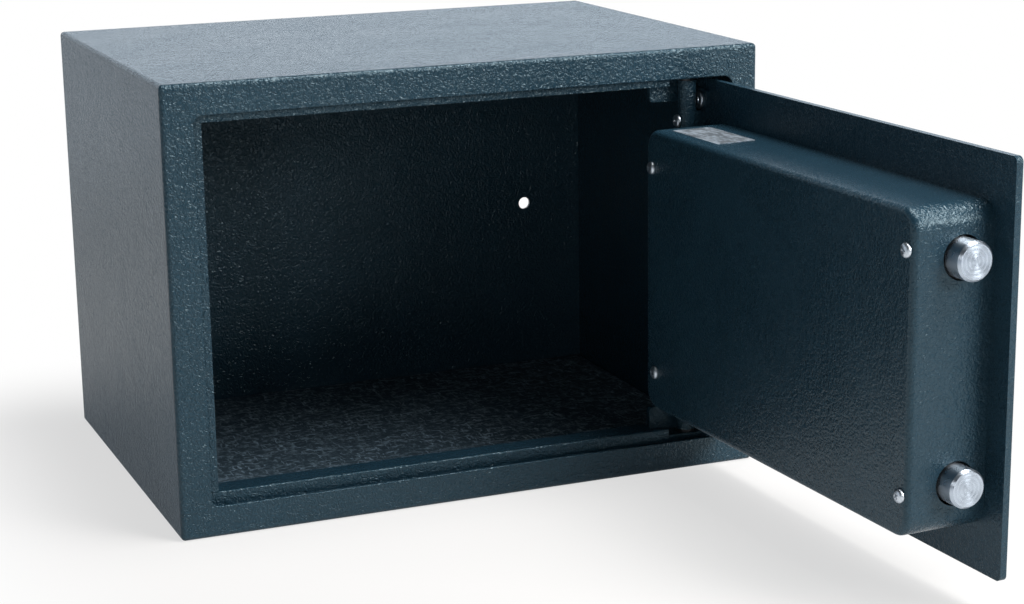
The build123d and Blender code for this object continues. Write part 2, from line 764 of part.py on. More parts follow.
# Spindle with the crank disc at its inner end.
crank_face = crank_disc_gap + crank_disc_t
knob_back = fascia_front - cap_gap
knob_front = knob_back - knob_skirt_t - knob_grip_t
spindle_end = knob_front + knob_skirt_t
with BuildPart() as knob_spindle:
    with Locations(outward(knob_x, door_back + crank_face, knob_z)):
        Cylinder(crank_disc_d / 2, crank_disc_t, align=centre_base)
        Cylinder(spindle_d / 2, door_back + crank_face - spindle_end, align=centre_base)
    with Locations(inward(crank_pin_x, crank_face, crank_pin_z)):
        Hole(crank_pin_d / 2, depth=crank_disc_t)
knob_spindle.part.label = "knob_spindle"
door_pieces.append(knob_spindle.part)

with BuildPart() as crank_pin:
    with Locations(inward(crank_pin_x, crank_disc_gap, crank_pin_z)):
        Cylinder(crank_pin_d / 2, carriage_depth + carriage_t + crank_disc_gap - crank_disc_gap,
                 align=centre_base)
crank_pin.part.label = "crank_pin"
door_pieces.append(crank_pin.part)

# Turning knob: a round skirt under a waisted finger grip.
with BuildPart() as turn_knob:
    with BuildSketch(outward(knob_x, knob_back, knob_z)):
        Circle(knob_d / 2)
    extrude(amount=knob_skirt_t)
    chamfer(turn_knob.faces().sort_by(Axis.Y)[0].edges(), knob_skirt_t * 0.3)
    with BuildSketch(outward(knob_x, knob_back - knob_skirt_t, knob_z)) as grip_foot:
        RectangleRounded(knob_grip_w * 1.35, knob_d * 0.88, knob_grip_w * 0.5)
    with BuildSketch(outward(knob_x, knob_front, knob_z)) as grip_top:
        RectangleRounded(knob_grip_w * 0.8, knob_d * 0.8, knob_grip_w * 0.38)
    loft([grip_foot.sketch.face(), grip_top.sketch.face()])
    fillet(turn_knob.faces().sort_by(Axis.Y)[0].edges(), knob_grip_w * 0.18)
    with Locations(inward(knob_x, knob_back - door_back, knob_z)):
        Hole(spindle_d / 2, depth=knob_back - spindle_end)
turn_knob.part.label = "turn_knob"
door_pieces.append(turn_knob.part)

# Solenoid frame, coil and the plunger that drops into the carriage's notches.
with BuildPart() as solenoid_frame:
    with BuildSketch(upright(door_back)):
        with Locations((plunger_x, solenoid_z)):
            Rectangle(solenoid_w, solenoid_h)
            Rectangle(solenoid_w - 2 * solenoid_wall, solenoid_h - 2 * solenoid_wall,
                      mode=Mode.SUBTRACT)
    extrude(amount=-2 * carriage_mid)
    with BuildSketch(Plane.XY.offset(solenoid_z - solenoid_h / 2)):
        with Locations((plunger_x, door_back + carriage_mid)):
            Circle(plunger_d / 2 + running_play)
    extrude(amount=solenoid_wall, mode=Mode.SUBTRACT)
solenoid_frame.part.label = "solenoid_frame"
door_pieces.append(solenoid_frame.part)

with BuildPart() as solenoid_coil:
    with BuildSketch(Plane.XY.offset(solenoid_z - solenoid_h / 2 + solenoid_wall)):
        with Locations((plunger_x, door_back + carriage_mid)):
            Circle(coil_d / 2)
            Circle(plunger_d / 2 + running_play, mode=Mode.SUBTRACT)
    extrude(amount=solenoid_h - 2 * solenoid_wall)
solenoid_coil.part.label = "solenoid_coil"
door_pieces.append(solenoid_coil.part)

with BuildPart() as lock_plunger:
    with BuildSketch(Plane.XY.offset(plunger_tip)):
        with Locations((plunger_x, door_back + carriage_mid)):
            Circle(plunger_d / 2)
    extrude(amount=plunger_length)
    chamfer(lock_plunger.faces().sort_by(Axis.Z)[0].edges(), plunger_d * 0.1)
    with BuildSketch(Plane.XY.offset(collar_z)):
        with Locations((plunger_x, door_back + carriage_mid)):
            Circle(plunger_collar_d / 2)
    extrude(amount=plunger_collar_t)
lock_plunger.part.label = "lock_plunger"
door_pieces.append(lock_plunger.part)

# Return spring, squeezed between the plunger's collar and the solenoid frame.
spring_foot = collar_z + plunger_collar_t + spring_wire / 2 + slot_play
spring_height = solenoid_z - solenoid_h / 2 - slot_play - spring_wire / 2 - spring_foot
with BuildPart() as plunger_spring:
    with BuildLine():
        spring_path = Helix(spring_height / spring_turns, spring_height, spring_r,
                            center=(plunger_x, door_back + carriage_mid, spring_foot))
    with BuildSketch(Plane(origin=spring_path @ 0, z_dir=spring_path % 0)):
        RegularPolygon(spring_wire / 2, 6)
    sweep()
plunger_spring.part.label = "plunger_spring"
door_pieces.append(plunger_spring.part)

# Emergency lock: cylinder through the door, spring clip, turning plug and its cam.
cylinder_front = fascia_front + 1
with BuildPart() as cylinder_body:
    with Locations(inward(cylinder_x, cylinder_front - door_back, cylinder_z)):
        Cylinder(cylinder_d / 2, door_back + cylinder_reach - cylinder_front, align=centre_base)
    with Locations(inward(cylinder_x, cylinder_reach, cylinder_z)):
        Hole(plug_d / 2 + running_play)
cylinder_body.part.label = "cylinder_body"
door_pieces.append(cylinder_body.part)

with BuildPart() as cylinder_clip:
    with BuildSketch(inward(cylinder_x, 0, cylinder_z)):
        Circle(clip_d / 2)
        Circle(cylinder_d / 2, mode=Mode.SUBTRACT)
        with Locations((0, clip_d / 2)):
            Rectangle(clip_d / 3, clip_d / 2, mode=Mode.SUBTRACT)
    extrude(amount=clip_t)
cylinder_clip.part.label = "cylinder_clip"
door_pieces.append(cylinder_clip.part)

cam_depth = cylinder_reach + pin_play * 10
with BuildPart() as key_plug:
    with Locations(inward(cylinder_x, cylinder_front - door_back, cylinder_z)):
        Cylinder(plug_d / 2, door_back + cam_depth - cylinder_front, align=centre_base)
    with Locations(inward(cylinder_x, cam_depth, cylinder_z)):
        Cylinder(plug_d / 4, cam_t + 1, align=centre_base)
    with BuildSketch(outward(cylinder_x, cylinder_front, cylinder_z)):
        Rectangle(keyway_w, keyway_h)
    extrude(amount=-keyway_deep, mode=Mode.SUBTRACT)
key_plug.part.label = "key_plug"
door_pieces.append(key_plug.part)

with BuildPart() as key_cam:
    with BuildSketch(upright(door_back + cam_depth)):
        with Locations((cylinder_x, cylinder_z)):
            Circle(plug_d / 2)
            with PolarLocations(cam_length / 2, 1, start_angle=cam_rest_angle):
                SlotOverall(cam_length + cam_w, cam_w)
            Circle(plug_d / 4, mode=Mode.SUBTRACT)
    extrude(amount=-cam_t)
key_cam.part.label = "key_cam"
door_pieces.append(key_cam.part)

# Swivel cover over the keyhole: it hangs from a pin and swings aside.
with BuildPart() as key_cap:
    with BuildSketch(upright(fascia_front - cap_gap)):
        with BuildLine():
            cap_low = CenterArc((cylinder_x, cylinder_z), cap_r, 0, 360)
        make_face()
        with Locations((cylinder_x, cap_pivot_z)):
            Circle(cap_pivot_r)
        with Locations((cylinder_x, cylinder_z + cap_pivot_up / 2)):
            Rectangle(2 * cap_pivot_r, cap_pivot_up)
    extrude(amount=cap_t)
    chamfer(key_cap.faces().sort_by(Axis.Y)[0].edges(), cap_t * 0.3)
    with Locations(inward(cylinder_x, fascia_front - cap_gap - door_back, cap_pivot_z)):
        Cylinder(cap_pin_d / 2, cap_gap + fascia_wall, align=centre_base)
key_cap.part.label = "key_cap"
door_pieces.append(key_cap.part)

# Keypad housing: a drawn-in moulded box, open at the back, with bosses for its screws
# and for the keypad board.
key_rows = len(key_names) // key_columns
keys_at = [(keypad_x + (i % key_columns - (key_columns - 1) / 2) * key_pitch,
            keypad_z - (i // key_columns - (key_rows - 1) / 2) * key_pitch)
           for i in range(len(key_names))]
board_x = keypad_x
board_z = keypad_z
board_bosses_at = [(board_x + sx * (board_w / 2 - board_boss_in),
                    board_z + sz * (board_h / 2 - board_boss_in))
                   for sx in (-1, 1) for sz in (-1, 1)]
lens_z = keypad_z + lens_over_keypad
lenses_at = [(keypad_x + (i - 1) * key_pitch, lens_z) for i in range(3)]
with BuildPart() as keypad_fascia:
    with BuildSketch(upright(front)):
        with Locations((fascia_x, fascia_z)):
            RectangleRounded(fascia_w, fascia_h, fascia_corner_r)
    extrude(amount=fascia_t, taper=fascia_draft)
    fillet(keypad_fascia.faces().sort_by(Axis.Y)[0].edges(), fascia_edge_r)
    with BuildSketch(upright(front)):
        with Locations((fascia_x, fascia_z)):
            RectangleRounded(fascia_w - 2 * fascia_wall, fascia_h - 2 * fascia_wall,
                             fascia_corner_r - fascia_wall)
    extrude(amount=fascia_t - fascia_wall, taper=fascia_draft, mode=Mode.SUBTRACT)
    with BuildSketch(upright(front)):
        with Locations(*fascia_screws_at):
            Circle(fascia_boss_d / 2)
    extrude(amount=fascia_t - fascia_wall)
    with BuildSketch(upright(board_front)):
        with Locations(*board_bosses_at):
            Circle(board_boss_d / 2)
    extrude(amount=board_front - fascia_inside)
    with BuildSketch(upright(front)):
        with Locations(*fascia_screws_at):
            Circle(fascia_screw_d / 2)
    extrude(amount=fascia_screw_bite, mode=Mode.SUBTRACT)
    with BuildSketch(upright(fascia_front)):
        with Locations((knob_x, knob_z)):
            Circle(bush_flange_d / 2 + fascia_hole_play)
        with Locations((cylinder_x, cylinder_z)):
            Circle(cylinder_d / 2 + fascia_hole_play)
        with Locations((cylinder_x, cap_pivot_z)):
            Circle(cap_pin_d / 2 + running_play)
        with Locations(*lenses_at):
            Circle(lens_d / 2)
        with Locations(*keys_at):
            RectangleRounded(key_w + 2 * fascia_hole_play, key_h + 2 * fascia_hole_play,
                             key_r + fascia_hole_play)
    extrude(amount=-fascia_wall, mode=Mode.SUBTRACT)
keypad_fascia.part.label = "keypad_fascia"
door_pieces.append(keypad_fascia.part)

fascia_screw = pan_screw(fascia_screw_head_d, carriage_t * 0.8, fascia_screw_d,
                         door_t + fascia_screw_bite)
with BuildPart() as fascia_screws:
    with Locations(*[inward(x, 0, z) for x, z in fascia_screws_at]):
        add(fascia_screw)
fascia_screws.part.label = "fascia_screws"
door_pieces.append(fascia_screws.part)

# Keypad board, seated on its bosses, with one dome under each key.
dome_t = board_gap - key_travel
with BuildPart() as keypad_board:
    with BuildSketch(upright(board_front)):
        with Locations((board_x, board_z)):
            Rectangle(board_w, board_h)
    extrude(amount=-board_t)
    with BuildSketch(upright(board_front)):
        with Locations(*keys_at):
            RegularPolygon(key_w / 4, 8)
    extrude(amount=dome_t * 0.8)
keypad_board.part.label = "keypad_board"
door_pieces.append(keypad_board.part)

# Keys, in rows of three from the top: a cap, a flange behind the housing and a stem.
for name, (key_x, key_z) in zip(key_names, keys_at):
    with BuildPart() as key:
        with BuildSketch(outward(key_x, fascia_inside, key_z)):
            RectangleRounded(key_w, key_h, key_r)
        extrude(amount=fascia_wall + key_proud)
        chamfer(key.faces().sort_by(Axis.Y)[0].edges(), key_proud * 0.35)
        with BuildSketch(inward(key_x, fascia_inside + slot_play - door_back, key_z)):
            Rectangle(key_w + 2 * key_flange, key_h + 2 * key_flange)
        extrude(amount=key_flange_t - slot_play)
        with BuildSketch(inward(key_x, fascia_inside - door_back, key_z)):
            Rectangle(key_w / 2, key_h / 2)
        extrude(amount=key_flange_t + key_stem)
    key.part.label = "key_" + name
    door_pieces.append(key.part)

# Three signal lenses above the keys.
with BuildPart() as led_lenses:
    with Locations(*[outward(x, fascia_inside, z) for x, z in lenses_at]):
        Cylinder(lens_d / 2, fascia_wall + lens_proud, align=centre_base)
led_lenses.part.label = "led_lenses"
door_pieces.append(led_lenses.part)

# Circuit board on four spacers, with its larger components.
with BuildPart() as board_spacers:
    with Locations(inward(circuit_x, 0, circuit_z)):
        with GridLocations(circuit_w - 2 * spacer_in, circuit_h - 2 * spacer_in, 2, 2):
            Cylinder(spacer_d / 2, circuit_lift, align=centre_base)
board_spacers.part.label = "board_spacers"
door_pieces.append(board_spacers.part)

with BuildPart() as circuit_board:
    with BuildSketch(inward(circuit_x, circuit_lift, circuit_z)):
        RectangleRounded(circuit_w, circuit_h, 2)
    extrude(amount=board_t)
circuit_board.part.label = "circuit_board"
door_pieces.append(circuit_board.part)

components_d = circuit_lift + board_t
component_x = (circuit_x - circuit_w / 2 + component_in, circuit_x + circuit_w / 2 - component_in)
component_low = circuit_z - circuit_h / 2 + component_row_in
component_high = circuit_z + circuit_h / 2 - component_row_in
with BuildPart() as board_parts:
    with Locations(inward(component_x[0], components_d, circuit_z)):
        Box(chip_w, chip_h, chip_t, align=centre_base)
    with Locations(inward(component_x[1], components_d, component_high),
                   inward(component_x[1], components_d, component_high - can_pitch)):
        Cylinder(can_d / 2, can_t, align=centre_base)
    with Locations(*[inward(x, components_d, component_low) for x in component_x]):
        Box(socket_w, socket_h, socket_t, align=centre_base)
    with Locations(inward(component_x[0], components_d, component_high)):
        Cylinder(buzzer_d / 2, buzzer_t, align=centre_base)
board_parts.part.label = "board_parts"
door_pieces.append(board_parts.part)

# Battery case: a deep open tray with two layers of cells side by side.
layer_pitch = cell_d + cell_layer_gap
case_w = cell_length + cell_nub + case_end_room + 2 * case_wall
case_h = cell_rows * cell_pitch + 2 * case_wall
case_deep = case_wall + (cell_layers - 1) * layer_pitch + cell_d - case_shown
case_x = cover_right - case_from_hinge_side - case_w / 2
case_z = fascia_screw_z[0] + case_over_screw + case_h / 2
with BuildPart() as battery_case:
    with BuildSketch(inward(case_x, 0, case_z)):
        RectangleRounded(case_w, case_h, case_wall)
    extrude(amount=case_deep)
    with BuildSketch(inward(case_x, case_wall, case_z)):
        Rectangle(case_w - 2 * case_wall, case_h - 2 * case_wall)
    extrude(amount=case_deep, mode=Mode.SUBTRACT)
battery_case.part.label = "battery_case"
door_pieces.append(battery_case.part)

cells_at = [(door_back + case_wall + cell_d / 2 + layer * layer_pitch,
             case_z + (row - (cell_rows - 1) / 2) * cell_pitch)
            for layer in range(cell_layers) for row in range(cell_rows)]
with BuildPart() as batteries:
    for i, (cell_y, cell_z) in enumerate(cells_at):
        nub_side = 1 if i % 2 == 0 else -1
        with BuildSketch(Plane.YZ.offset(case_x - cell_length / 2)):
            with Locations((cell_y, cell_z)):
                Circle(cell_d / 2)
        extrude(amount=cell_length)
        with BuildSketch(Plane.YZ.offset(case_x + nub_side * cell_length / 2)):
            with Locations((cell_y, cell_z)):
                Circle(cell_nub_d / 2)
        extrude(amount=nub_side * cell_nub)
batteries.part.label = "batteries"
door_pieces.append(batteries.part)

# Wire leads along the door plate, which end under the circuit board: from the battery case,
# from the solenoid, and from the keypad board through the cable slot.
lead_y = door_back + lead_d / 2 + lead_clearance
solenoid_lead_z = solenoid_z + solenoid_h * 0.4
circuit_left = circuit_x - circuit_w / 2
lead_routes = (
    [(case_x, lead_y, case_z + case_h / 2 + lead_clearance),
     (case_x, lead_y, circuit_z),
     (case_x - 2 * lead_bend_r, lead_y, circuit_z)],
    [(plunger_x + solenoid_w / 2 + lead_clearance, lead_y, solenoid_lead_z),
     (cylinder_x, lead_y, solenoid_lead_z + lead_bend_r),
     (circuit_left - 2 * lead_bend_r, lead_y, solenoid_lead_z),
     (circuit_left + 3 * lead_bend_r, lead_y, solenoid_lead_z)],
    [(keypad_x, board_front + board_t + lead_clearance, keypad_z),
     (keypad_x, lead_y, keypad_z),
     (circuit_x, lead_y, keypad_z),
     (circuit_x, lead_y, circuit_z - 2 * lead_bend_r)],
)
with BuildPart() as wire_leads:
    for route in lead_routes:
        with BuildLine() as lead:
            FilletPolyline(*route, radius=lead_bend_r)
        with BuildSketch(Plane(origin=lead.line @ 0, z_dir=lead.line % 0)):
            Circle(lead_d / 2)
        sweep(path=lead.line)
wire_leads.part.label = "wire_leads"
door_pieces.append(wire_leads.part)

# Write the cabinet as it stands, and the door pieces swung open about the hinge pins.
hinge_axis = Axis((hinge_x, hinge_y, 0), (0, 0, 1))
for piece in cabinet_pieces:
    export_step(piece, f"parts/{piece.label}.step")
for piece in door_pieces:
    swung = piece.rotate(hinge_axis, open_angle)
    swung.label = piece.label
    export_step(swung, f"parts/{piece.label}.step")
print(f"{len(cabinet_pieces)} cabinet nodes, {len(door_pieces)} door nodes")
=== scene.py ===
"""Dresses the packed steel safe: coat, chromed bolts, screws, felt mat, keypad and studio."""

import json
from math import cos, pi, radians, sin, tau

import bmesh
import bpy
from bpy.props import FloatProperty, FloatVectorProperty, IntProperty, PointerProperty
from mathutils import Matrix, Vector, noise

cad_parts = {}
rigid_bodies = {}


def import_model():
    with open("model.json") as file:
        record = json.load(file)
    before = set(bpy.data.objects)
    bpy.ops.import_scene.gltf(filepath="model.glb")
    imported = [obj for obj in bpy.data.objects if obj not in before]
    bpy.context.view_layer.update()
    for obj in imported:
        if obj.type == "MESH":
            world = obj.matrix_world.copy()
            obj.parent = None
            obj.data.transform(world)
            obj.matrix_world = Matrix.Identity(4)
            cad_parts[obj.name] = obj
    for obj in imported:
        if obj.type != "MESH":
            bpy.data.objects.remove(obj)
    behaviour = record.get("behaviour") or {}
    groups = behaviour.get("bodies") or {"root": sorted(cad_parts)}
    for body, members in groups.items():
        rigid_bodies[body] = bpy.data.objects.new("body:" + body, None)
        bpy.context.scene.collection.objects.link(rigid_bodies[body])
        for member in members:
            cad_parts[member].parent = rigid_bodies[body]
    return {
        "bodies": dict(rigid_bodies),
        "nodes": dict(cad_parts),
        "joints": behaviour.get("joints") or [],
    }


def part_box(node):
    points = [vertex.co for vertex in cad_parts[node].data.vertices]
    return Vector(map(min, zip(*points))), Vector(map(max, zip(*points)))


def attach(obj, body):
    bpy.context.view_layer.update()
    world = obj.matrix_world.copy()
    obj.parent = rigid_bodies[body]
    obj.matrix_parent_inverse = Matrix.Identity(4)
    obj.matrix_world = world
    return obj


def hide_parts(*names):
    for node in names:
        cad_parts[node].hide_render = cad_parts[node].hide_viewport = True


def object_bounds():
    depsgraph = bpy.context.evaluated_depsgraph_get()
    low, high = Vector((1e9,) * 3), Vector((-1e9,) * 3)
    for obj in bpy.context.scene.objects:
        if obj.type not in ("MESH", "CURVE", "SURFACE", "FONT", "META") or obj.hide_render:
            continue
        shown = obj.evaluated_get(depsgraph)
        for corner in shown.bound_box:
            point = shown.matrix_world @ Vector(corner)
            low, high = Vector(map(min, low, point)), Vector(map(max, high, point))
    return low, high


bl_info = {
    "name": "Steel safe dressing",
    "version": (1, 0, 0),
    "blender": (4, 5, 0),
    "location": "3D View > Sidebar > Safe",
    "description": "Finishes and fine pieces for a small steel safe with an open door",
    "category": "Object",
}

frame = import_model()
cad_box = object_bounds()

# The door is drawn shut, square to the axes, and swung open about its hinge pins.
door_joint = next(j for j in frame["joints"] if j["name"] == "door_hinge")
hinge = Vector(door_joint["pos_m"])
open_angle = -radians(door_joint["range_deg"][0])
swing = Matrix.Translation(hinge) @ Matrix.Rotation(open_angle, 4, "Z") @ Matrix.Translation(-hinge)
shut = swing.inverted()

# Turns that stand a piece's own Z along a direction of the shut door.
OUTWARD = Matrix.Rotation(pi / 2, 4, "X")
INWARD = Matrix.Rotation(-pi / 2, 4, "X")
TO_EDGE = Matrix.Rotation(-pi / 2, 4, "Y")
TO_HINGE = Matrix.Rotation(pi / 2, 4, "Y")
UPRIGHT = Matrix.Identity(4)

# Marks on the two keys that have no number.
KEY_MARKS = {"clear": "*", "enter": "#"}

# The mixed finishes by short name, filled by the first operator.
SHOP = {}

# Name, place, target, width, height and watts of each lamp.
LAMPS = (
    ("overhead_softbox", (0.48, -0.50, 1.45), (0.38, -0.3, 0.0), 0.55, 1.3, 36.0),
    ("key_softbox", (0.85, -1.37, 0.77), (0.10, -0.25, 0.12), 0.7, 0.5, 15.0),
    ("front_softbox", (-0.85, -1.65, 0.5), (0.1, -0.1, 0.18), 0.20, 0.42, 2.6),
)


# Sizes and colours

def colour(name, shade, note):
    return FloatVectorProperty(name=name, description=note, subtype="COLOR", size=3,
                               min=0.0, max=1.0, default=shade)


def length(name, metres, note):
    return FloatProperty(name=name, description=note, subtype="DISTANCE", unit="LENGTH",
                         min=0.0, default=metres)


def share(name, part, note):
    return FloatProperty(name=name, description=note, min=0.0, max=1.0, default=part)


class CoatSettings(bpy.types.PropertyGroup):
    """The textured powder coat on the sheet metal."""

    shade: colour("Coat", (0.0120, 0.0360, 0.0560), "Colour of the powder coat")
    sheen: colour("Sheen", (0.72, 0.93, 1.0), "Tint of the coat's highlights")
    grain_size: length("Grain size", 0.00175, "Width of one pebble of the coat's leather grain")
    grain_depth: length("Grain depth", 0.00066, "Height of the pebbles")
    roughness: share("Roughness", 0.22, "Roughness of the cabinet's coat")
    door_roughness: share("Door roughness", 0.27, "Roughness of the door's coat")
    door_part: share("Door grain", 0.50, "Grain of the door's coat as a part of the cabinet's")


class MetalSettings(bpy.types.PropertyGroup):
    """Bare and plated metals."""

    chrome: colour("Chrome", (0.50, 0.56, 0.63), "Colour of the chromed bolts")
    zinc: colour("Zinc", (0.60, 0.65, 0.70), "Colour of zinc-plated screws and washers")
    steel: colour("Galvanised steel", (0.42, 0.44, 0.46), "Colour of the inner steel parts")
    brass: colour("Brass", (0.64, 0.44, 0.17), "Colour of the plug and the bush")
    black_steel: colour("Black steel", (0.05, 0.052, 0.055), "Colour of the hinge pins and washers")
    copper: colour("Copper", (0.62, 0.25, 0.12), "Colour of the coil's wire")
    foil: colour("Foil", (0.48, 0.55, 0.62), "Colour of the bare silver label")


class PlasticSettings(bpy.types.PropertyGroup):
    """Moulded and woven materials."""

    housing: colour("Housing", (0.012, 0.013, 0.015), "Colour of the keypad housing")
    key: colour("Keys", (0.30, 0.32, 0.34), "Colour of the keys")
    ink: colour("Figures", (0.015, 0.017, 0.020), "Colour of the figures on the keys")
    board: colour("Board", (0.012, 0.10, 0.045), "Colour of the circuit boards")
    felt: colour("Felt", (0.020, 0.040, 0.056), "Colour of the floor mat's felt")
    hair: colour("Felt hairs", (0.34, 0.46, 0.56), "Colour of the pale hairs in the felt")
    lead: colour("Leads", (0.30, 0.012, 0.010), "Colour of the wire leads")
    cell: colour("Cells", (0.035, 0.042, 0.055), "Colour of the cells' wrap")
    component: colour("Components", (0.02, 0.02, 0.022), "Colour of the board's components")
    red: colour("Red lens", (0.42, 0.02, 0.015), "Colour of the red lens")
    green: colour("Green lens", (0.03, 0.30, 0.05), "Colour of the green lens")
    amber: colour("Amber lens", (0.50, 0.26, 0.02), "Colour of the amber lens")


class DetailSettings(bpy.types.PropertyGroup):
    """Sizes of the fine pieces."""

    head_height: length("Screw head", 0.0025, "Height of the cover screws' heads")
    recess: share("Recess", 0.58, "Width of the cross recess as a part of the head")
    bolt_bevel: length("Bolt bevel", 0.0012, "Bevel on the nose of the bolts")
    turning_pitch: length("Turning marks", 0.00034, "Distance between turning rings on the bolts")
    mat_cell: length("Felt mesh", 0.0025, "Distance between points of the mat's mesh")
    mat_wave: length("Felt waves", 0.0004, "Unevenness of the mat")
    key_width: length("Key width", 0.012, "Width of a key's cap")
    key_reach: length("Key reach", 0.0034, "From the back of the housing's wall to a key's top")
    key_corner: length("Key corner", 0.002, "Corner radius of the keys")
    key_rim: length("Key rim", 0.0006, "Radius of the keys' upper rim")
    key_dish: length("Key dish", 0.00035, "Depth of the dish in a key's top")
    figure_height: length("Figures", 0.0062, "Height of the figures on the keys")
    bead_width: length("Weld bead", 0.0034, "Width of the weld beads")
    rail_bead: length("Rail bead", 0.022, "Length of a weld bead on a rail")
    bracket_bead: length("Bracket bead", 0.013, "Length of a weld bead on a hinge bracket")
    coil_turns: IntProperty(name="Coil turns", description="Turns of wire that show on the coil",
                            min=5, max=60, default=34)


class StudioSettings(bpy.types.PropertyGroup):
    """Camera, lamps and floor."""

    camera_at: FloatVectorProperty(name="Camera", description="Place of the camera", size=3,
                                   subtype="TRANSLATION", unit="LENGTH",
                                   default=(-0.44669, -1.26368, 0.42065))
    look_at: FloatVectorProperty(name="Look at", description="Point in the middle of the view",
                                 size=3, subtype="TRANSLATION", unit="LENGTH",
                                 default=(0.02069, -0.125, 0.11358))
    roll: FloatProperty(name="Roll", description="Roll of the camera", subtype="ANGLE",
                        default=radians(-0.821))
    lens: FloatProperty(name="Lens", description="Focal length on a 36 mm wide frame, in mm",
                        min=10, max=300, default=79.18)
    floor_shade: colour("Floor", (0.62, 0.60, 0.58), "Colour of the floor")
    floor_lift: share("Floor lift", 0.66, "Part of the backdrop's white in the floor by the safe")
    floor_fade: length("Floor fade", 0.16, "Distance from the safe where the floor is all backdrop")
    dark_part: share("Dark part", 0.06, "Brightness of the studio in front and overhead")
    backdrop: colour("Backdrop", (0.81, 0.90, 1.0), "Colour of the light from the backdrop")
    backdrop_light: FloatProperty(name="Backdrop light", description="Strength of that light",
                                  min=0.0, default=1.45)


def settings(name):
    """The scene's values of one property group."""
    return getattr(bpy.context.scene, "steel_safe_" + name)


# Shader maths

class Value:
    """A node's output that takes part in Python expressions."""

    def __init__(self, nodes, socket):
        self.nodes = nodes
        self.socket = socket

    def math(self, operation, *others):
        inputs = dict(enumerate((self, *others)))
        return self.nodes.add("ShaderNodeMath", {"operation": operation}, inputs)

    def __add__(self, other):
        return self.math("ADD", other)

    __radd__ = __add__

    def __mul__(self, other):
        return self.math("MULTIPLY", other)

    __rmul__ = __mul__

    def __sub__(self, other):
        return self.math("SUBTRACT", other)

    def __rsub__(self, other):
        return (self * -1.0) + other

    def __pow__(self, other):
        return self.math("POWER", other)

    def least(self, other):
        return self.math("MINIMUM", other)

    def most(self, other):
        return self.math("MAXIMUM", other)

    def wave(self):
        return self.math("SINE")

    def rise(self, low, high):
        """Goes smoothly from 0 at low to 1 at high."""
        return self.nodes.add("ShaderNodeMapRange", {"interpolation_type": "SMOOTHSTEP"},
                              {"Value": self, "From Min": low, "From Max": high})


class NodeTree:
    """Adds nodes to one tree and links what they are given."""

    def __init__(self, tree):
        self.tree = tree

    def add(self, kind, options=None, inputs=None, output=0):
        node = self.tree.nodes.new(kind)
        for name, option in (options or {}).items():
            setattr(node, name, option)
        for name, given in (inputs or {}).items():
            self.feed(node.inputs[name], given)
        return Value(self, node.outputs[output])

    def feed(self, socket, given):
        if isinstance(given, Value):
            self.tree.links.new(given.socket, socket)
        else:
            socket.default_value = given

    def axes(self, vector):
        parts = self.add("ShaderNodeSeparateXYZ", inputs={"Vector": vector}).socket.node
        return [Value(self, socket) for socket in parts.outputs]

    def stretch(self, vector, scale):
        return self.add("ShaderNodeVectorMath", {"operation": "MULTIPLY"}, {0: vector, 1: scale})

    def shift(self, vector, amount):
        return self.add("ShaderNodeVectorMath", {"operation": "ADD"}, {0: vector, 1: amount})

    def cloud(self, vector, size, detail=3.0, roughness=0.55, output="Fac"):
        return self.add("ShaderNodeTexNoise", {}, {
            "Vector": vector, "Scale": 1.0 / size, "Detail": detail, "Roughness": roughness,
        }, output)

    def cells(self, vector, size, feature="SMOOTH_F1", smoothness=0.6, output="Distance"):
        inputs = {"Vector": vector, "Scale": 1.0 / size}
        if feature == "SMOOTH_F1":
            inputs["Smoothness"] = smoothness
        return self.add("ShaderNodeTexVoronoi", {"feature": feature}, inputs, output)

    def blend(self, factor, first, second):
        return self.add("ShaderNodeMix", {"data_type": "RGBA"},
                        {"Factor": factor, "A": opaque(first), "B": opaque(second)}, 2)

    def bump(self, height, depth, normal=None):
        inputs = {"Height": height, "Distance": depth}
        if normal is not None:
            inputs["Normal"] = normal
        return self.add("ShaderNodeBump", {}, inputs)


def opaque(shade):
    return shade if isinstance(shade, Value) else (*shade[:3], 1.0)


def tinted(shade, part):
    return [min(1.0, channel * part) for channel in shade]


class Finish(NodeTree):
    """A material of the safe, with one Principled shader."""

    def __init__(self, name, shade, roughness, metallic=0.0, **surface):
        self.material = bpy.data.materials.new(name)
        self.material.use_nodes = True
        super().__init__(self.material.node_tree)
        self.shader = self.tree.nodes["Principled BSDF"]
        self.wear(Base_Color=opaque(shade), Roughness=roughness, Metallic=metallic, **surface)
        self.material.diffuse_color = (*shade[:3], 1.0)
        self.here = self.add("ShaderNodeTexCoord", output="Object")

    def wear(self, **surface):
        for name, given in surface.items():
            self.feed(self.shader.inputs[name.replace("_", " ")], given)


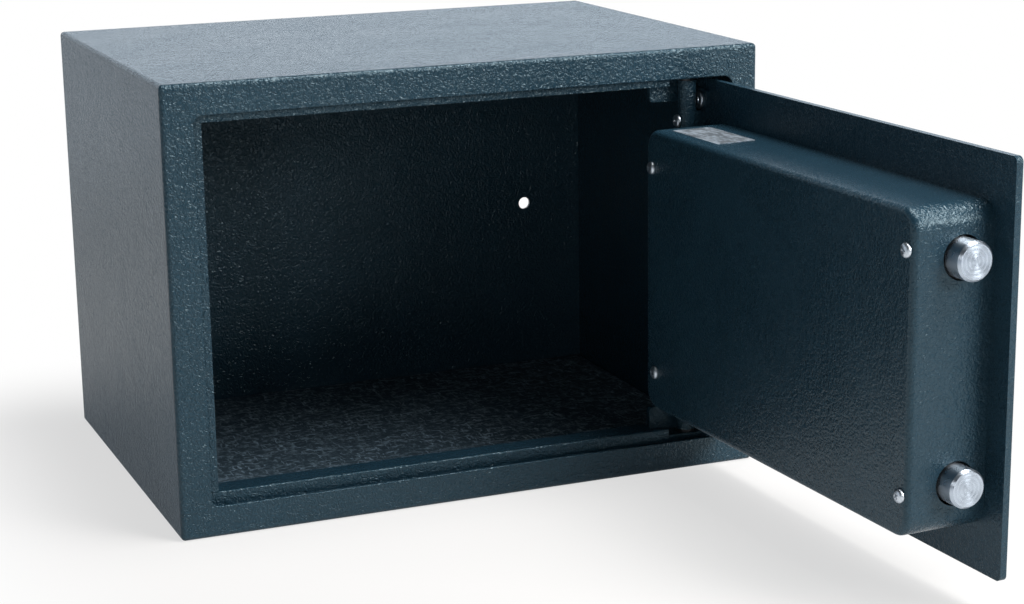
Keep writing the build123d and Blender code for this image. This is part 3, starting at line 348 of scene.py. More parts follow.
def powder_coat(name, roughness, part=1.0):
    """Leather-grained, half-gloss coat with pebbles about the size of a coarse grain of salt."""
    coat = settings("coat")
    finish = Finish(name, coat.shade, roughness, Specular_Tint=opaque(coat.sheen))
    drift = finish.cloud(finish.here, coat.grain_size * 2.2, detail=2.0, output="Color")
    bent = finish.shift(finish.here, finish.stretch(drift, (coat.grain_size * 2.4,) * 3))
    pebbles = finish.cells(bent, coat.grain_size, smoothness=0.35)
    gaps = finish.cells(bent, coat.grain_size * 1.25, feature="DISTANCE_TO_EDGE").rise(0.0, 0.24)
    winding_line = (finish.cloud(bent, coat.grain_size * 1.6, detail=1.0) - 0.5).math("ABSOLUTE")
    creases = gaps * 0.6 + winding_line.rise(0.0, 0.10) * 0.4
    fine = finish.cloud(finish.here, coat.grain_size * 0.45, detail=1.0)
    orange_peel = finish.cloud(finish.here, coat.grain_size * 6, detail=1.0)
    height = (1 - pebbles) * 0.6 + creases * 0.34 + fine * 0.2 + orange_peel * 0.5
    waves = finish.bump(finish.cloud(finish.here, 0.16, detail=1.0), 0.0012)
    patchy = finish.cloud(finish.here, 0.05, detail=2.0)
    tone = finish.blend(patchy.rise(0.3, 0.75), tinted(coat.shade, 0.9), tinted(coat.shade, 1.12))
    # Painted shade: the coat's colour is darker in the creases between the pebbles.
    tone = finish.blend(creases, tinted(coat.shade, 0.78), tone)
    finish.wear(Base_Color=tone, Roughness=roughness + (patchy - 0.5) * 0.08 + (fine - 0.5) * 0.1,
                Normal=finish.bump(height, coat.grain_depth * part, waves))
    return finish.material


def chrome():
    """Chromed bolt: its own Z is the bolt's axis, so the turning rings follow it."""
    finish = Finish("turned_chrome", settings("metal").chrome, 0.3, 1.0, Anisotropic=0.85,
                    Anisotropic_Rotation=0.25)
    x, y = finish.axes(finish.here)[:2]
    radius = (x * x + y * y) ** 0.5
    pitch = settings("detail").turning_pitch
    rings = (radius * (tau / pitch)).wave() + (radius * (tau / (pitch * 2.7))).wave() * 0.8
    broad = (radius * (tau / (pitch * 6.5))).wave()
    haze = finish.cloud(finish.here, 0.004, detail=3.0)
    finish.wear(Roughness=0.28 + haze.rise(0.35, 0.8) * 0.1 + broad * 0.07,
                Normal=finish.bump(rings + broad, 0.000007))
    return finish.material


def plated(name, shade, roughness, mottle=0.12, size=0.0012):
    """Plated or bare metal with a fine mottle and faint wiping marks."""
    finish = Finish(name, shade, roughness, 1.0)
    grain = finish.cloud(finish.here, size, detail=4.0)
    streak = finish.cloud(finish.stretch(finish.here, (1, 1, 9)), size * 8, detail=2.0)
    tone = finish.blend(grain.rise(0.3, 0.7), tinted(shade, 1 - mottle), tinted(shade, 1 + mottle))
    finish.wear(Base_Color=tone, Roughness=roughness + (streak - 0.5) * 0.2,
                Normal=finish.bump(grain, 0.00002))
    return finish.material


def galvanised(name, shade):
    """Steel sheet with the crystal flowers of a zinc bath."""
    finish = Finish(name, shade, 0.38, 1.0)
    flower = finish.cells(finish.here, 0.006, feature="F1", output="Color")
    light = finish.axes(flower)[0]
    scratch = finish.cloud(finish.stretch(finish.here, (1, 8, 8)), 0.008, detail=4.0)
    tone = finish.blend(light, tinted(shade, 0.78), tinted(shade, 1.2))
    finish.wear(Base_Color=tone, Roughness=0.28 + light * 0.2 + (scratch - 0.5) * 0.15,
                Normal=finish.bump(scratch, 0.00003))
    return finish.material


def moulded(name, shade, roughness=0.48, spark=0.0006, depth=0.00005):
    """Moulded plastic with a fine spark-eroded texture."""
    finish = Finish(name, shade, roughness)
    texture = finish.cloud(finish.here, spark, detail=2.0)
    smear = finish.cloud(finish.here, 0.02, detail=3.0)
    tone = finish.blend(smear.rise(0.3, 0.8), tinted(shade, 0.88), tinted(shade, 1.1))
    finish.wear(Base_Color=tone, Roughness=roughness + (smear - 0.5) * 0.16,
                Normal=finish.bump(texture, depth))
    return finish.material


def felt():
    """Needled felt: dark, matt, with pale crossing hairs."""
    plastics = settings("plastic")
    finish = Finish("needled_felt", plastics.felt, 0.95, Specular_IOR_Level=0.15, Sheen_Weight=0.08,
                    Sheen_Roughness=0.6, Sheen_Tint=opaque(plastics.hair))
    drift = finish.cloud(finish.here, 0.006, detail=2.0, output="Color")
    bent = finish.shift(finish.here, finish.stretch(drift, (0.005, 0.005, 0.0)))
    along = finish.cloud(finish.stretch(bent, (0.22, 1.0, 1.0)), 0.0017, detail=2.0)
    across = finish.cloud(finish.stretch(bent, (1.0, 0.22, 1.0)), 0.0017, detail=2.0)
    hairs = along.rise(0.56, 0.70).most(across.rise(0.57, 0.71))
    tufts = finish.cloud(finish.here, 0.0042, detail=4.0, roughness=0.75)
    thin = finish.cloud(finish.here, 0.03, detail=2.0).rise(0.25, 0.75)
    amount = hairs * (0.25 + thin * 0.45) + tufts.rise(0.46, 0.72) * 0.4
    finish.wear(Base_Color=finish.blend(amount.least(1.0), plastics.felt, plastics.hair),
                Normal=finish.bump(tufts + hairs * 0.45, 0.0009))
    return finish.material


def foil():
    """Bare silver label: brushed foil that has gone a little blotchy."""
    shade = settings("metal").foil
    finish = Finish("silver_foil", shade, 0.42, 0.75)
    brushed = finish.cloud(finish.stretch(finish.here, (1, 0.03, 1)), 0.0006, detail=2.0)
    blotches = finish.cloud(finish.stretch(finish.here, (1, 0.4, 1)), 0.0045, detail=4.0,
                            roughness=0.7)
    tone = finish.blend(blotches.rise(0.43, 0.58), tinted(shade, 0.42), shade)
    finish.wear(Base_Color=tone, Roughness=0.34 + brushed * 0.2,
                Normal=finish.bump(brushed + blotches * 2, 0.00002))
    return finish.material


def winding():
    """Enamelled copper wire."""
    finish = Finish("copper_winding", settings("metal").copper, 0.26, 1.0, Coat_Weight=0.4)
    burnish = finish.cloud(finish.here, 0.003, detail=3.0)
    finish.wear(Roughness=0.2 + burnish * 0.16)
    return finish.material


def circuit_board():
    """Green solder mask over copper tracks, with rows of bright pads."""
    shade = settings("plastic").board
    finish = Finish("solder_mask", shade, 0.28)
    tracks = finish.cells(finish.here, 0.0055, feature="DISTANCE_TO_EDGE")
    lanes = 1 - tracks.rise(0.035, 0.06)
    pads = 1 - finish.cells(finish.here, 0.0032, feature="F1").rise(0.16, 0.2)
    tone = finish.blend(lanes * 0.6, shade, tinted(shade, 2.4))
    tone = finish.blend(pads, tone, (0.55, 0.55, 0.5))
    finish.wear(Base_Color=tone, Metallic=pads * 0.9,
                Normal=finish.bump(lanes + pads, 0.00003))
    return finish.material


def cell_wrap():
    """Shrink-wrapped cells with a lighter band and bare steel ends."""
    shade = settings("plastic").cell
    finish = Finish("cell_wrap", shade, 0.24)
    x, y, z = finish.axes(finish.here)
    band_start, bare_radius, edge = 0.0102, 0.0058, 0.0002
    band = z.rise(band_start, band_start + edge)
    bare = 1 - ((x * x + y * y) ** 0.5).rise(bare_radius, bare_radius + edge)
    tone = finish.blend(band, shade, (0.34, 0.36, 0.40))
    tone = finish.blend(bare, tone, (0.55, 0.56, 0.58))
    finish.wear(Base_Color=tone, Metallic=bare.most(band * 0.5),
                Roughness=0.22 + finish.cloud(finish.here, 0.004).rise(0.3, 0.8) * 0.12)
    return finish.material


def insulation(name, shade):
    """Soft, slightly uneven skin of a wire."""
    finish = Finish(name, shade, 0.36)
    finish.wear(Roughness=0.32 + finish.cloud(finish.here, 0.003) * 0.12,
                Normal=finish.bump(finish.cloud(finish.here, 0.0015), 0.00003))
    return finish.material


def lens(name, shade):
    """Tinted, diffusing signal lens."""
    finish = Finish(name, shade, 0.12, Transmission_Weight=0.35, IOR=1.49)
    finish.wear(Roughness=0.1 + finish.cloud(finish.here, 0.001) * 0.08)
    return finish.material


# Meshes

def quarter_turn(parts, count):
    """Cosine and sine at the first steps of a quarter turn that is cut into equal parts."""
    turns = [step / parts * pi / 2 for step in range(1, count + 1)]
    return [(cos(turn), sin(turn)) for turn in turns]


def ring(width, depth, corner, height, steps=10):
    """Points of a rounded rectangle at a height; a circle when corner is half its width."""
    points = []
    for quarter in range(4):
        middle = Vector(((width / 2 - corner) * (1, -1, -1, 1)[quarter],
                         (depth / 2 - corner) * (1, 1, -1, -1)[quarter], height))
        for step in range(steps + 1):
            turn = (quarter + step / steps) * pi / 2
            points.append(middle + Vector((cos(turn), sin(turn), 0)) * corner)
    return points


def circle(radius, height, steps=12):
    return ring(2 * radius, 2 * radius, radius, height, steps)


def fluted(radius, depth, count, height):
    """Points of a circle with flutes cut into its rim."""
    points = []
    for step in range(count * 6):
        turn = tau * step / (count * 6)
        dip = depth * (0.5 + 0.5 * cos(count * turn)) ** 2
        points.append(Vector(((radius - dip) * cos(turn), (radius - dip) * sin(turn), height)))
    return points


def loft(mesh, rings, place=UPRIGHT):
    """Skins a row of closed rings and closes both ends."""
    rows = [[mesh.verts.new(place @ point) for point in points] for points in rings]
    count = len(rows[0])
    for low, high in zip(rows, rows[1:]):
        for i in range(count):
            j = (i + 1) % count
            mesh.faces.new((low[i], low[j], high[j], high[i]))
    mesh.faces.new(rows[0][::-1])
    mesh.faces.new(rows[-1])


def turned(mesh, profile, place=UPRIGHT, steps=12):
    """Turns (radius, height) points about the local Z."""
    loft(mesh, [circle(radius, height, steps) for radius, height in profile], place)


def solids(node, in_door=True):
    """Lowest and highest corner of each separate solid of a CAD node, with the door shut."""
    mesh = bmesh.new()
    mesh.from_mesh(frame["nodes"][node].data)
    if in_door:
        mesh.transform(shut)
    bmesh.ops.remove_doubles(mesh, verts=mesh.verts, dist=1e-6)
    boxes = []
    unseen = set(mesh.verts)
    while unseen:
        group = [unseen.pop()]
        for vert in group:
            for edge in vert.link_edges:
                other = edge.other_vert(vert)
                if other in unseen:
                    unseen.discard(other)
                    group.append(other)
        low = Vector([min(v.co[i] for v in group) for i in range(3)])
        high = Vector([max(v.co[i] for v in group) for i in range(3)])
        boxes.append((low, high))
    mesh.free()
    return sorted(boxes, key=lambda pair: tuple(round(c, 5) for c in pair[0]))


def middle_of(box):
    return (box[0] + box[1]) / 2


def round_size(box, along, across):
    """Middle, radius and length of a round piece that lies along one axis."""
    low, high = box
    long, wide = [getattr(high, axis) - getattr(low, axis) for axis in (along, across)]
    return middle_of(box), wide / 2, long


def on_door(x, y, z, turn=UPRIGHT):
    """Place of a piece that stands at a point of the shut door."""
    return swing @ Matrix.Translation((x, y, z)) @ turn


def linked(name, data):
    made = bpy.data.objects.new(name, data)
    bpy.context.scene.collection.objects.link(made)
    return made


def mesh_data(name, mesh):
    """Turns a bmesh into a mesh of that name and frees it."""
    data = bpy.data.meshes.new(name)
    mesh.to_mesh(data)
    mesh.free()
    return data


def body_of_node(node):
    return next(name for name, empty in frame["bodies"].items()
                if frame["nodes"][node].parent == empty)


def piece(name, mesh, material, body, replaces=(), place=UPRIGHT, sharp=32):
    """Makes an object of the mesh, stands it in its place and lets it ride on a body."""
    bmesh.ops.recalc_face_normals(mesh, faces=mesh.faces)
    data = mesh_data(name, mesh)
    data.shade_smooth()
    data.set_sharp_from_angle(angle=radians(sharp))
    data.materials.append(material)
    made = linked(name, data)
    made.matrix_world = place
    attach(made, body)
    if replaces:
        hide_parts(*replaces)
    return made


def dress(nodes, material):
    """Gives CAD nodes a finish in place of their plain one."""
    for node in nodes:
        made = frame["nodes"][node]
        made.data.materials.clear()
        made.data.materials.append(material)


def cross_recess(width, depth):
    """Cutter for a cross recess that narrows downwards from the top of a head."""
    mesh = bmesh.new()
    for turn in (0.0, pi / 2):
        top = ring(width, width * 0.2, width * 0.05, depth * 0.5, 2)
        low = ring(width * 0.45, width * 0.12, width * 0.03, -depth, 2)
        loft(mesh, [low, top], Matrix.Rotation(turn, 4, "Z"))
    return mesh


def recessed_head(diameter, height, share_of_head):
    """Mesh of a pan head that sits on Z = 0, with its cross recess cut out."""
    head = bmesh.new()
    radius = diameter / 2
    rim = height * 0.28
    profile = [(radius * 0.97, 0.0), (radius, height * 0.08), (radius, rim)]
    profile += [(radius * across ** 0.8, rim + (height - rim) * up)
                for across, up in quarter_turn(9, 8)]
    turned(head, profile + [(radius * 0.02, height)], steps=10)
    cutter = cross_recess(diameter * share_of_head, height * 0.62)
    for vert in cutter.verts:
        vert.co.z += height
    blank = linked("head_blank", mesh_data("head_blank", head))
    cutter = linked("head_cutter", mesh_data("head_cutter", cutter))
    boolean = blank.modifiers.new("recess", "BOOLEAN")
    boolean.operation = "DIFFERENCE"
    boolean.solver = "EXACT"
    boolean.use_self = True
    boolean.object = cutter
    depsgraph = bpy.context.evaluated_depsgraph_get()
    data = bpy.data.meshes.new_from_object(blank.evaluated_get(depsgraph))
    for made in (blank, cutter):
        bpy.data.objects.remove(made)
    return data


def screws(name, node, turn, height_of_head):
    """Pan-head screws in place of a node's plain ones, each turned a little differently."""
    body = body_of_node(node)
    axis = turn.to_3x3() @ Vector((0, 0, 1))
    along = max(range(3), key=lambda i: abs(axis[i]))
    mesh = bmesh.new()
    head = None
    across = (along + 1) % 3
    for count, (low, high) in enumerate(solids(node)):
        diameter = high[across] - low[across]
        tip = high[along] if axis[along] > 0 else low[along]
        back = low[along] if axis[along] > 0 else high[along]
        seat = middle_of((low, high))
        seat[along] = tip - axis[along] * height_of_head
        if head is None:
            head = recessed_head(diameter, height_of_head, settings("detail").recess)
        place = Matrix.Translation(seat) @ turn @ Matrix.Rotation(0.5 + count * 1.1, 4, "Z")
        start = len(mesh.verts)
        mesh.from_mesh(head)
        mesh.verts.ensure_lookup_table()
        bmesh.ops.transform(mesh, matrix=place, verts=mesh.verts[start:])
        shank = abs(seat[along] - back)
        core = diameter * 0.26
        turned(mesh, [(diameter * 0.22, -shank), (core, -shank * 0.96), (core, 0.0)], place, 4)
    bpy.data.meshes.remove(head)
    mesh.transform(swing)
    piece(name, mesh, SHOP["zinc"], body, (node,), sharp=28)


# Operators

class SafeStep:
    """What the safe's operators share."""

    bl_options = {"REGISTER", "UNDO"}

    def execute(self, context):
        self.make()
        return {"FINISHED"}


class MixFinishes(SafeStep, bpy.types.Operator):
    """Mix every finish of the safe"""

    bl_idname = "steel_safe.mix_finishes"
    bl_label = "Mix finishes"

    def make(self):
        coat = settings("coat")
        metal = settings("metal")
        plastic = settings("plastic")
        SHOP.update(
            coat=powder_coat("textured_coat", coat.roughness),
            door_coat=powder_coat("door_coat", coat.door_roughness, coat.door_part),
            chrome=chrome(),
            zinc=plated("zinc_plating", metal.zinc, 0.34),
            brass=plated("brass", metal.brass, 0.24, 0.08),
            black_steel=plated("blackened_steel", metal.black_steel, 0.42),
            satin=plated("satin_chrome", metal.chrome, 0.30, 0.04, 0.0005),
            steel=galvanised("galvanised_steel", metal.steel),
            copper=winding(),
            foil=foil(),
            felt=felt(),
            housing=moulded("moulded_housing", plastic.housing),
            key=moulded("key_rubber", plastic.key, 0.62, 0.0004, 0.00003),
            ink=moulded("figure_ink", plastic.ink, 0.4, 0.0004, 0.00001),
            dark=moulded("component_plastic", plastic.component, 0.42),
            board=circuit_board(),
            cell=cell_wrap(),
            lead=insulation("red_insulation", plastic.lead),
            red=lens("red_lens", plastic.red),
            green=lens("green_lens", plastic.green),
            amber=lens("amber_lens", plastic.amber),
        )


class CoatSheetMetal(SafeStep, bpy.types.Operator):
    """Coat the cabinet, the door plate, the hinge parts and the lock cover"""

    bl_idname = "steel_safe.coat_sheet_metal"
    bl_label = "Coat sheet metal"

    def make(self):
        dress(("body_wrap", "back_panel", "stop_rail_top", "stop_rail_side", "stop_rail_bottom",
               "hinge_bracket_top", "hinge_bracket_bottom", "hinge_knuckle_top",
               "hinge_knuckle_bottom"), SHOP["coat"])
        dress(("door_plate", "lock_cover"), SHOP["door_coat"])
        dress(("hinge_pins", "hinge_washers"), SHOP["black_steel"])
        dress(("cover_label",), SHOP["foil"])


class FinishInnerParts(SafeStep, bpy.types.Operator):
    """Finish the metal and plastic parts behind the lock cover and the keypad housing"""

    bl_idname = "steel_safe.finish_inner_parts"
    bl_label = "Finish inner parts"

    def make(self):
        dress(("bolt_guide", "bolt_carriage", "solenoid_frame", "key_cam", "cylinder_clip"),
              SHOP["steel"])
        dress(("guide_posts", "cover_posts", "knob_spindle", "crank_pin", "lock_plunger",
               "plunger_spring", "cylinder_body"), SHOP["zinc"])
        dress(("spindle_bush", "key_plug"), SHOP["brass"])
        dress(("keypad_fascia", "board_spacers", "battery_case", "key_cap"), SHOP["housing"])
        dress(("keypad_board", "circuit_board"), SHOP["board"])
        dress(("wire_leads",), SHOP["lead"])


class MakeFasteners(SafeStep, bpy.types.Operator):
    """Make the cross-recessed screws and the low cap nuts"""

    bl_idname = "steel_safe.make_fasteners"
    bl_label = "Make fasteners"

    def make(self):
        head = settings("detail").head_height
        screws("cover_pan_screws", "cover_screws", INWARD, head)
        screws("hinge_pan_screws", "hinge_screws", INWARD, head)
        screws("housing_pan_screws", "fascia_screws", INWARD, head * 0.96)
        screws("bolt_pan_screws", "bolt_screws", TO_HINGE, head * 1.32)
        mesh = bmesh.new()
        for low, high in solids("hinge_nuts"):
            middle, radius, tall = round_size((low, high), "y", "x")
            profile = [(radius * 0.97, 0.0), (radius, tall * 0.08), (radius, tall * 0.45)]
            profile += [(radius * (0.62 + 0.38 * across), tall * (0.45 + 0.35 * up))
                        for across, up in quarter_turn(8, 7)]
            profile += [(radius * 0.52, tall * 0.82), (radius * 0.46, tall), (radius * 0.05, tall)]
            place = Matrix.Translation((middle.x, low.y, middle.z)) @ INWARD
            turned(mesh, profile, place)
        mesh.transform(swing)
        piece("hinge_cap_nuts", mesh, SHOP["zinc"], "door", ("hinge_nuts",))


class MakeBolts(SafeStep, bpy.types.Operator):
    """Make the two chromed bolts with turned noses"""

    bl_idname = "steel_safe.make_bolts"
    bl_label = "Make bolts"

    def make(self):
        bevel = settings("detail").bolt_bevel
        for node in ("bolt_upper", "bolt_lower"):
            (low, high), = solids(node)
            middle, radius, long = round_size((low, high), "x", "z")
            mesh = bmesh.new()
            profile = [(radius * 0.3, 0.0), (radius - bevel * 0.6, 0.0), (radius, bevel * 0.6)]
            profile += [(radius, long * step / 6) for step in range(1, 6)]
            profile += [(radius, long - bevel * 1.05), (radius - bevel * 0.12, long - bevel * 0.92)]
            profile += [(radius - bevel * 0.9, long - bevel * 0.1), (radius - bevel, long)]
            profile += [(radius * part, long) for part in (0.8, 0.6, 0.4, 0.2, 0.05)]
            turned(mesh, profile, steps=24)
            place = on_door(high.x, middle.y, middle.z, TO_EDGE)
            piece(node + "_rod", mesh, SHOP["chrome"], "bolt_body", (node,), place,
                  sharp=22)


class LayFloorMat(SafeStep, bpy.types.Operator):
    """Lay the felt mat on the floor of the safe"""

    bl_idname = "steel_safe.lay_floor_mat"
    bl_label = "Lay floor mat"

    def make(self):
        detail = settings("detail")
        low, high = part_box("floor_mat")
        width, deep = (high - low).xy
        middle = middle_of((low, high))
        columns = int(width / detail.mat_cell)
        rows = int(deep / detail.mat_cell)
        mesh = bmesh.new()
        sheets = []
        for top in (True, False):
            grid = [[mesh.verts.new(self.felt_point(x / columns - 0.5, y / rows - 0.5,
                                                    high - low, top))
                     for x in range(columns + 1)] for y in range(rows + 1)]
            for front, back in zip(grid, grid[1:]):
                for corners in zip(front, front[1:], back[1:], back):
                    mesh.faces.new(corners if top else corners[::-1])
            sheets.append(grid)
        upper, lower = sheets
        below, above = [grid[0] + [line[-1] for line in grid[1:]] + grid[-1][-2::-1]
                        + [line[0] for line in grid[-2:0:-1]] for grid in (lower, upper)]
        for i in range(len(below)):
            j = (i + 1) % len(below)
            mesh.faces.new((below[i], below[j], above[j], above[i]))
        place = Matrix.Translation((middle.x, middle.y, low.z))
        mat = piece("felt_floor_mat", mesh, SHOP["felt"], "cabinet", ("floor_mat",), place,
                    sharp=60)

    def felt_point(self, across, along, size, top):
        """A point of the mat, with ragged edges, soft rims and a slight unevenness."""
        width, deep, thick = size
        x, y = across * width, along * deep
        wave = settings("detail").mat_wave
        soft_rim, rim_drop, below_top, off_floor = 0.003, 0.0011, 0.0004, 0.0001
        ragged = 0.0004 * noise.noise(Vector((x, y, 0)) * 260)
        edge = min(width / 2 - abs(x), deep / 2 - abs(y))
        pull = max(0.0, 1 - edge / soft_rim)
        shrink = 1 - pull * (0.0006 + abs(ragged)) / (width / 2)
        bumps = noise.noise(Vector((x, y, 0.3)) * 30) * wave
        fuzz = noise.noise(Vector((x, y, 0.7)) * 420) * wave * 0.5
        above = thick - pull ** 2 * rim_drop - below_top + bumps + fuzz
        return Vector((x * shrink, y * shrink, above if top else off_floor))


class MakeKnob(SafeStep, bpy.types.Operator):
    """Make the turning knob with its fluted skirt and pointer line"""

    bl_idname = "steel_safe.make_knob"
    bl_label = "Make knob"

    def make(self):
        (low, high), = solids("turn_knob")
        middle, radius, tall = round_size((low, high), "y", "x")
        skirt = tall * 0.22
        mesh = bmesh.new()
        loft(mesh, [fluted(radius * part, depth, 48, skirt * up) for part, depth, up in (
            (0.97, 0.0002, 0.0), (1.0, 0.0005, 0.12), (1.0, 0.0005, 0.66),
            (0.965, 0.0001, 0.86), (0.90, 0.0, 1.0), (0.60, 0.0, 1.06))])
        rows = []
        for part, wide, long in ((0.0, 0.40, 0.88), (0.12, 0.345, 0.86), (0.45, 0.285, 0.83),
                                 (0.80, 0.26, 0.81), (0.93, 0.25, 0.80), (0.985, 0.22, 0.775),
                                 (1.0, 0.17, 0.73)):
            height = skirt * 0.9 + (tall - skirt * 0.9) * part
            rows.append(ring(2 * radius * wide, 2 * radius * long, radius * wide * 0.92, height, 8))
        loft(mesh, rows)
        place = on_door(middle.x, high.y, middle.z, OUTWARD)
        piece("fluted_knob", mesh, SHOP["satin"], "knob_body", ("turn_knob",), place)
        line = bmesh.new()
        loft(line, [ring(0.0011, radius * 0.55, 0.0004, height, 3)
                    for height in (tall - 0.0002, tall + 0.00008)],
             Matrix.Translation((0, radius * 0.42, 0)))
        piece("knob_pointer", line, SHOP["ink"], "knob_body", place=place)


class MakeKeys(SafeStep, bpy.types.Operator):
    """Make the twelve keys with dished tops and plain figures"""

    bl_idname = "steel_safe.make_keys"
    bl_label = "Make keys"

    def make(self):
        for node in frame["nodes"]:
            if node.startswith("key_") and node not in ("key_plug", "key_cam", "key_cap"):
                self.make_key(node)

    def make_key(self, node):
        """A stem, a flange behind the housing's wall and a cap with rounded rim and dished top."""
        detail = settings("detail")
        (low, high), = solids(node)
        middle = middle_of((low, high))
        flange_wide = high.x - low.x
        flange_tall = high.z - low.z
        wide = detail.key_width
        tall = flange_tall - (flange_wide - wide)
        stem = high.y - low.y
        behind = stem - detail.key_reach
        corner, rim = detail.key_corner, detail.key_rim
        stem_radius, chamfer = 0.003, 0.0003
        mesh = bmesh.new()
        turned(mesh, [(stem_radius - 0.0002, 0.0), (stem_radius, chamfer), (stem_radius, behind)],
               steps=6)
        loft(mesh, [ring(flange_wide, flange_tall, corner, behind - 3 * chamfer, 4),
                    ring(flange_wide, flange_tall, corner, behind - chamfer, 4)])
        rows = [ring(wide, tall, corner, behind - 2 * chamfer, 6),
                ring(wide, tall, corner, stem - rim, 6)]
        for across, up in quarter_turn(5, 5):
            inset = rim * (1 - across)
            rows.append(ring(wide - 2 * inset, tall - 2 * inset, corner - inset,
                             stem - rim * (1 - up), 6))
        for step in range(1, 6):
            part = step / 5
            inset = rim + part * 0.0046
            dip = detail.key_dish * sin(min(1.0, part * 1.15) * pi / 2)
            rows.append(ring(wide - 2 * inset, tall - 2 * inset,
                             max(0.0002, corner - rim - part * 0.001), stem - dip, 6))
        loft(mesh, rows)
        body = body_of_node(node)
        place = on_door(middle.x, high.y, middle.z, OUTWARD)
        piece(node + "_cap", mesh, SHOP["key"], body, (node,), place, sharp=50)
        self.print_figure(node, body, place, stem - detail.key_dish + 0.00002)

    def print_figure(self, node, body, place, height):
        """The key's figure, printed in its dish."""
        word = node.split("_")[1]
        curve = bpy.data.curves.new(node + "_figure", "FONT")
        curve.body = KEY_MARKS.get(word, word)
        curve.size = settings("detail").figure_height * 1.35
        curve.align_x = "CENTER"
        curve.align_y = "CENTER"
        curve.extrude = 0.00006
        text = linked(node + "_text", curve)
        depsgraph = bpy.context.evaluated_depsgraph_get()
        data = bpy.data.meshes.new_from_object(text.evaluated_get(depsgraph))
        bpy.data.objects.remove(text)
        mesh = bmesh.new()
        mesh.from_mesh(data)
        bpy.data.meshes.remove(data)
        middle_y = (max(v.co.y for v in mesh.verts) + min(v.co.y for v in mesh.verts)) / 2
        mesh.transform(Matrix.Translation((0, -middle_y, height)))
        piece(node + "_figure", mesh, SHOP["ink"], body, place=place)


class MakeSignalLenses(SafeStep, bpy.types.Operator):
    """Make the domed signal lenses above the keys"""

    bl_idname = "steel_safe.make_signal_lenses"
    bl_label = "Make signal lenses"

    def make(self):
        for shade, (low, high) in zip(("green", "red", "amber"), solids("led_lenses")):
            middle, radius, tall = round_size((low, high), "y", "x")
            profile = [(radius, 0.0), (radius, tall * 0.72)]
            profile += [(radius * across, tall * (0.72 + 0.28 * up))
                        for across, up in quarter_turn(7, 6)]
            mesh = bmesh.new()
            turned(mesh, profile, steps=8)
            place = on_door(middle.x, high.y, middle.z, OUTWARD)
            piece(shade + "_signal", mesh, SHOP[shade], "door", ("led_lenses",),
                  place)


class WindCoil(SafeStep, bpy.types.Operator):
    """Wind the solenoid's coil between its two cheeks"""

    bl_idname = "steel_safe.wind_coil"
    bl_label = "Wind coil"

    def make(self):
        (low, high), = solids("solenoid_coil")
        middle, radius, tall = round_size((low, high), "z", "x")
        turns = settings("detail").coil_turns
        cheek = 0.0012
        wire = (tall - 2 * cheek) / turns
        place = on_door(middle.x, middle.y, low.z)
        mesh = bmesh.new()
        rows = [(radius * 0.6, cheek)]
        for turn in range(turns):
            start = cheek + turn * wire
            for step in range(5):
                bulge = sin(pi * (step + 0.5) / 5)
                rows.append((radius * 0.9 - wire * 0.5 + wire * 0.5 * bulge,
                             start + wire * (step + 0.5) / 5))
        rows.append((radius * 0.6, tall - cheek))
        turned(mesh, rows, steps=10)
        piece("coil_winding", mesh, SHOP["copper"], "door", ("solenoid_coil",),
              place, sharp=60)
        cheeks = bmesh.new()
        for base in (0.0, tall - cheek):
            turned(cheeks, [(radius * 0.97, base), (radius, base + cheek * 0.2),
                            (radius, base + cheek * 0.8), (radius * 0.97, base + cheek)])
        piece("coil_cheeks", cheeks, SHOP["dark"], "door", place=place)


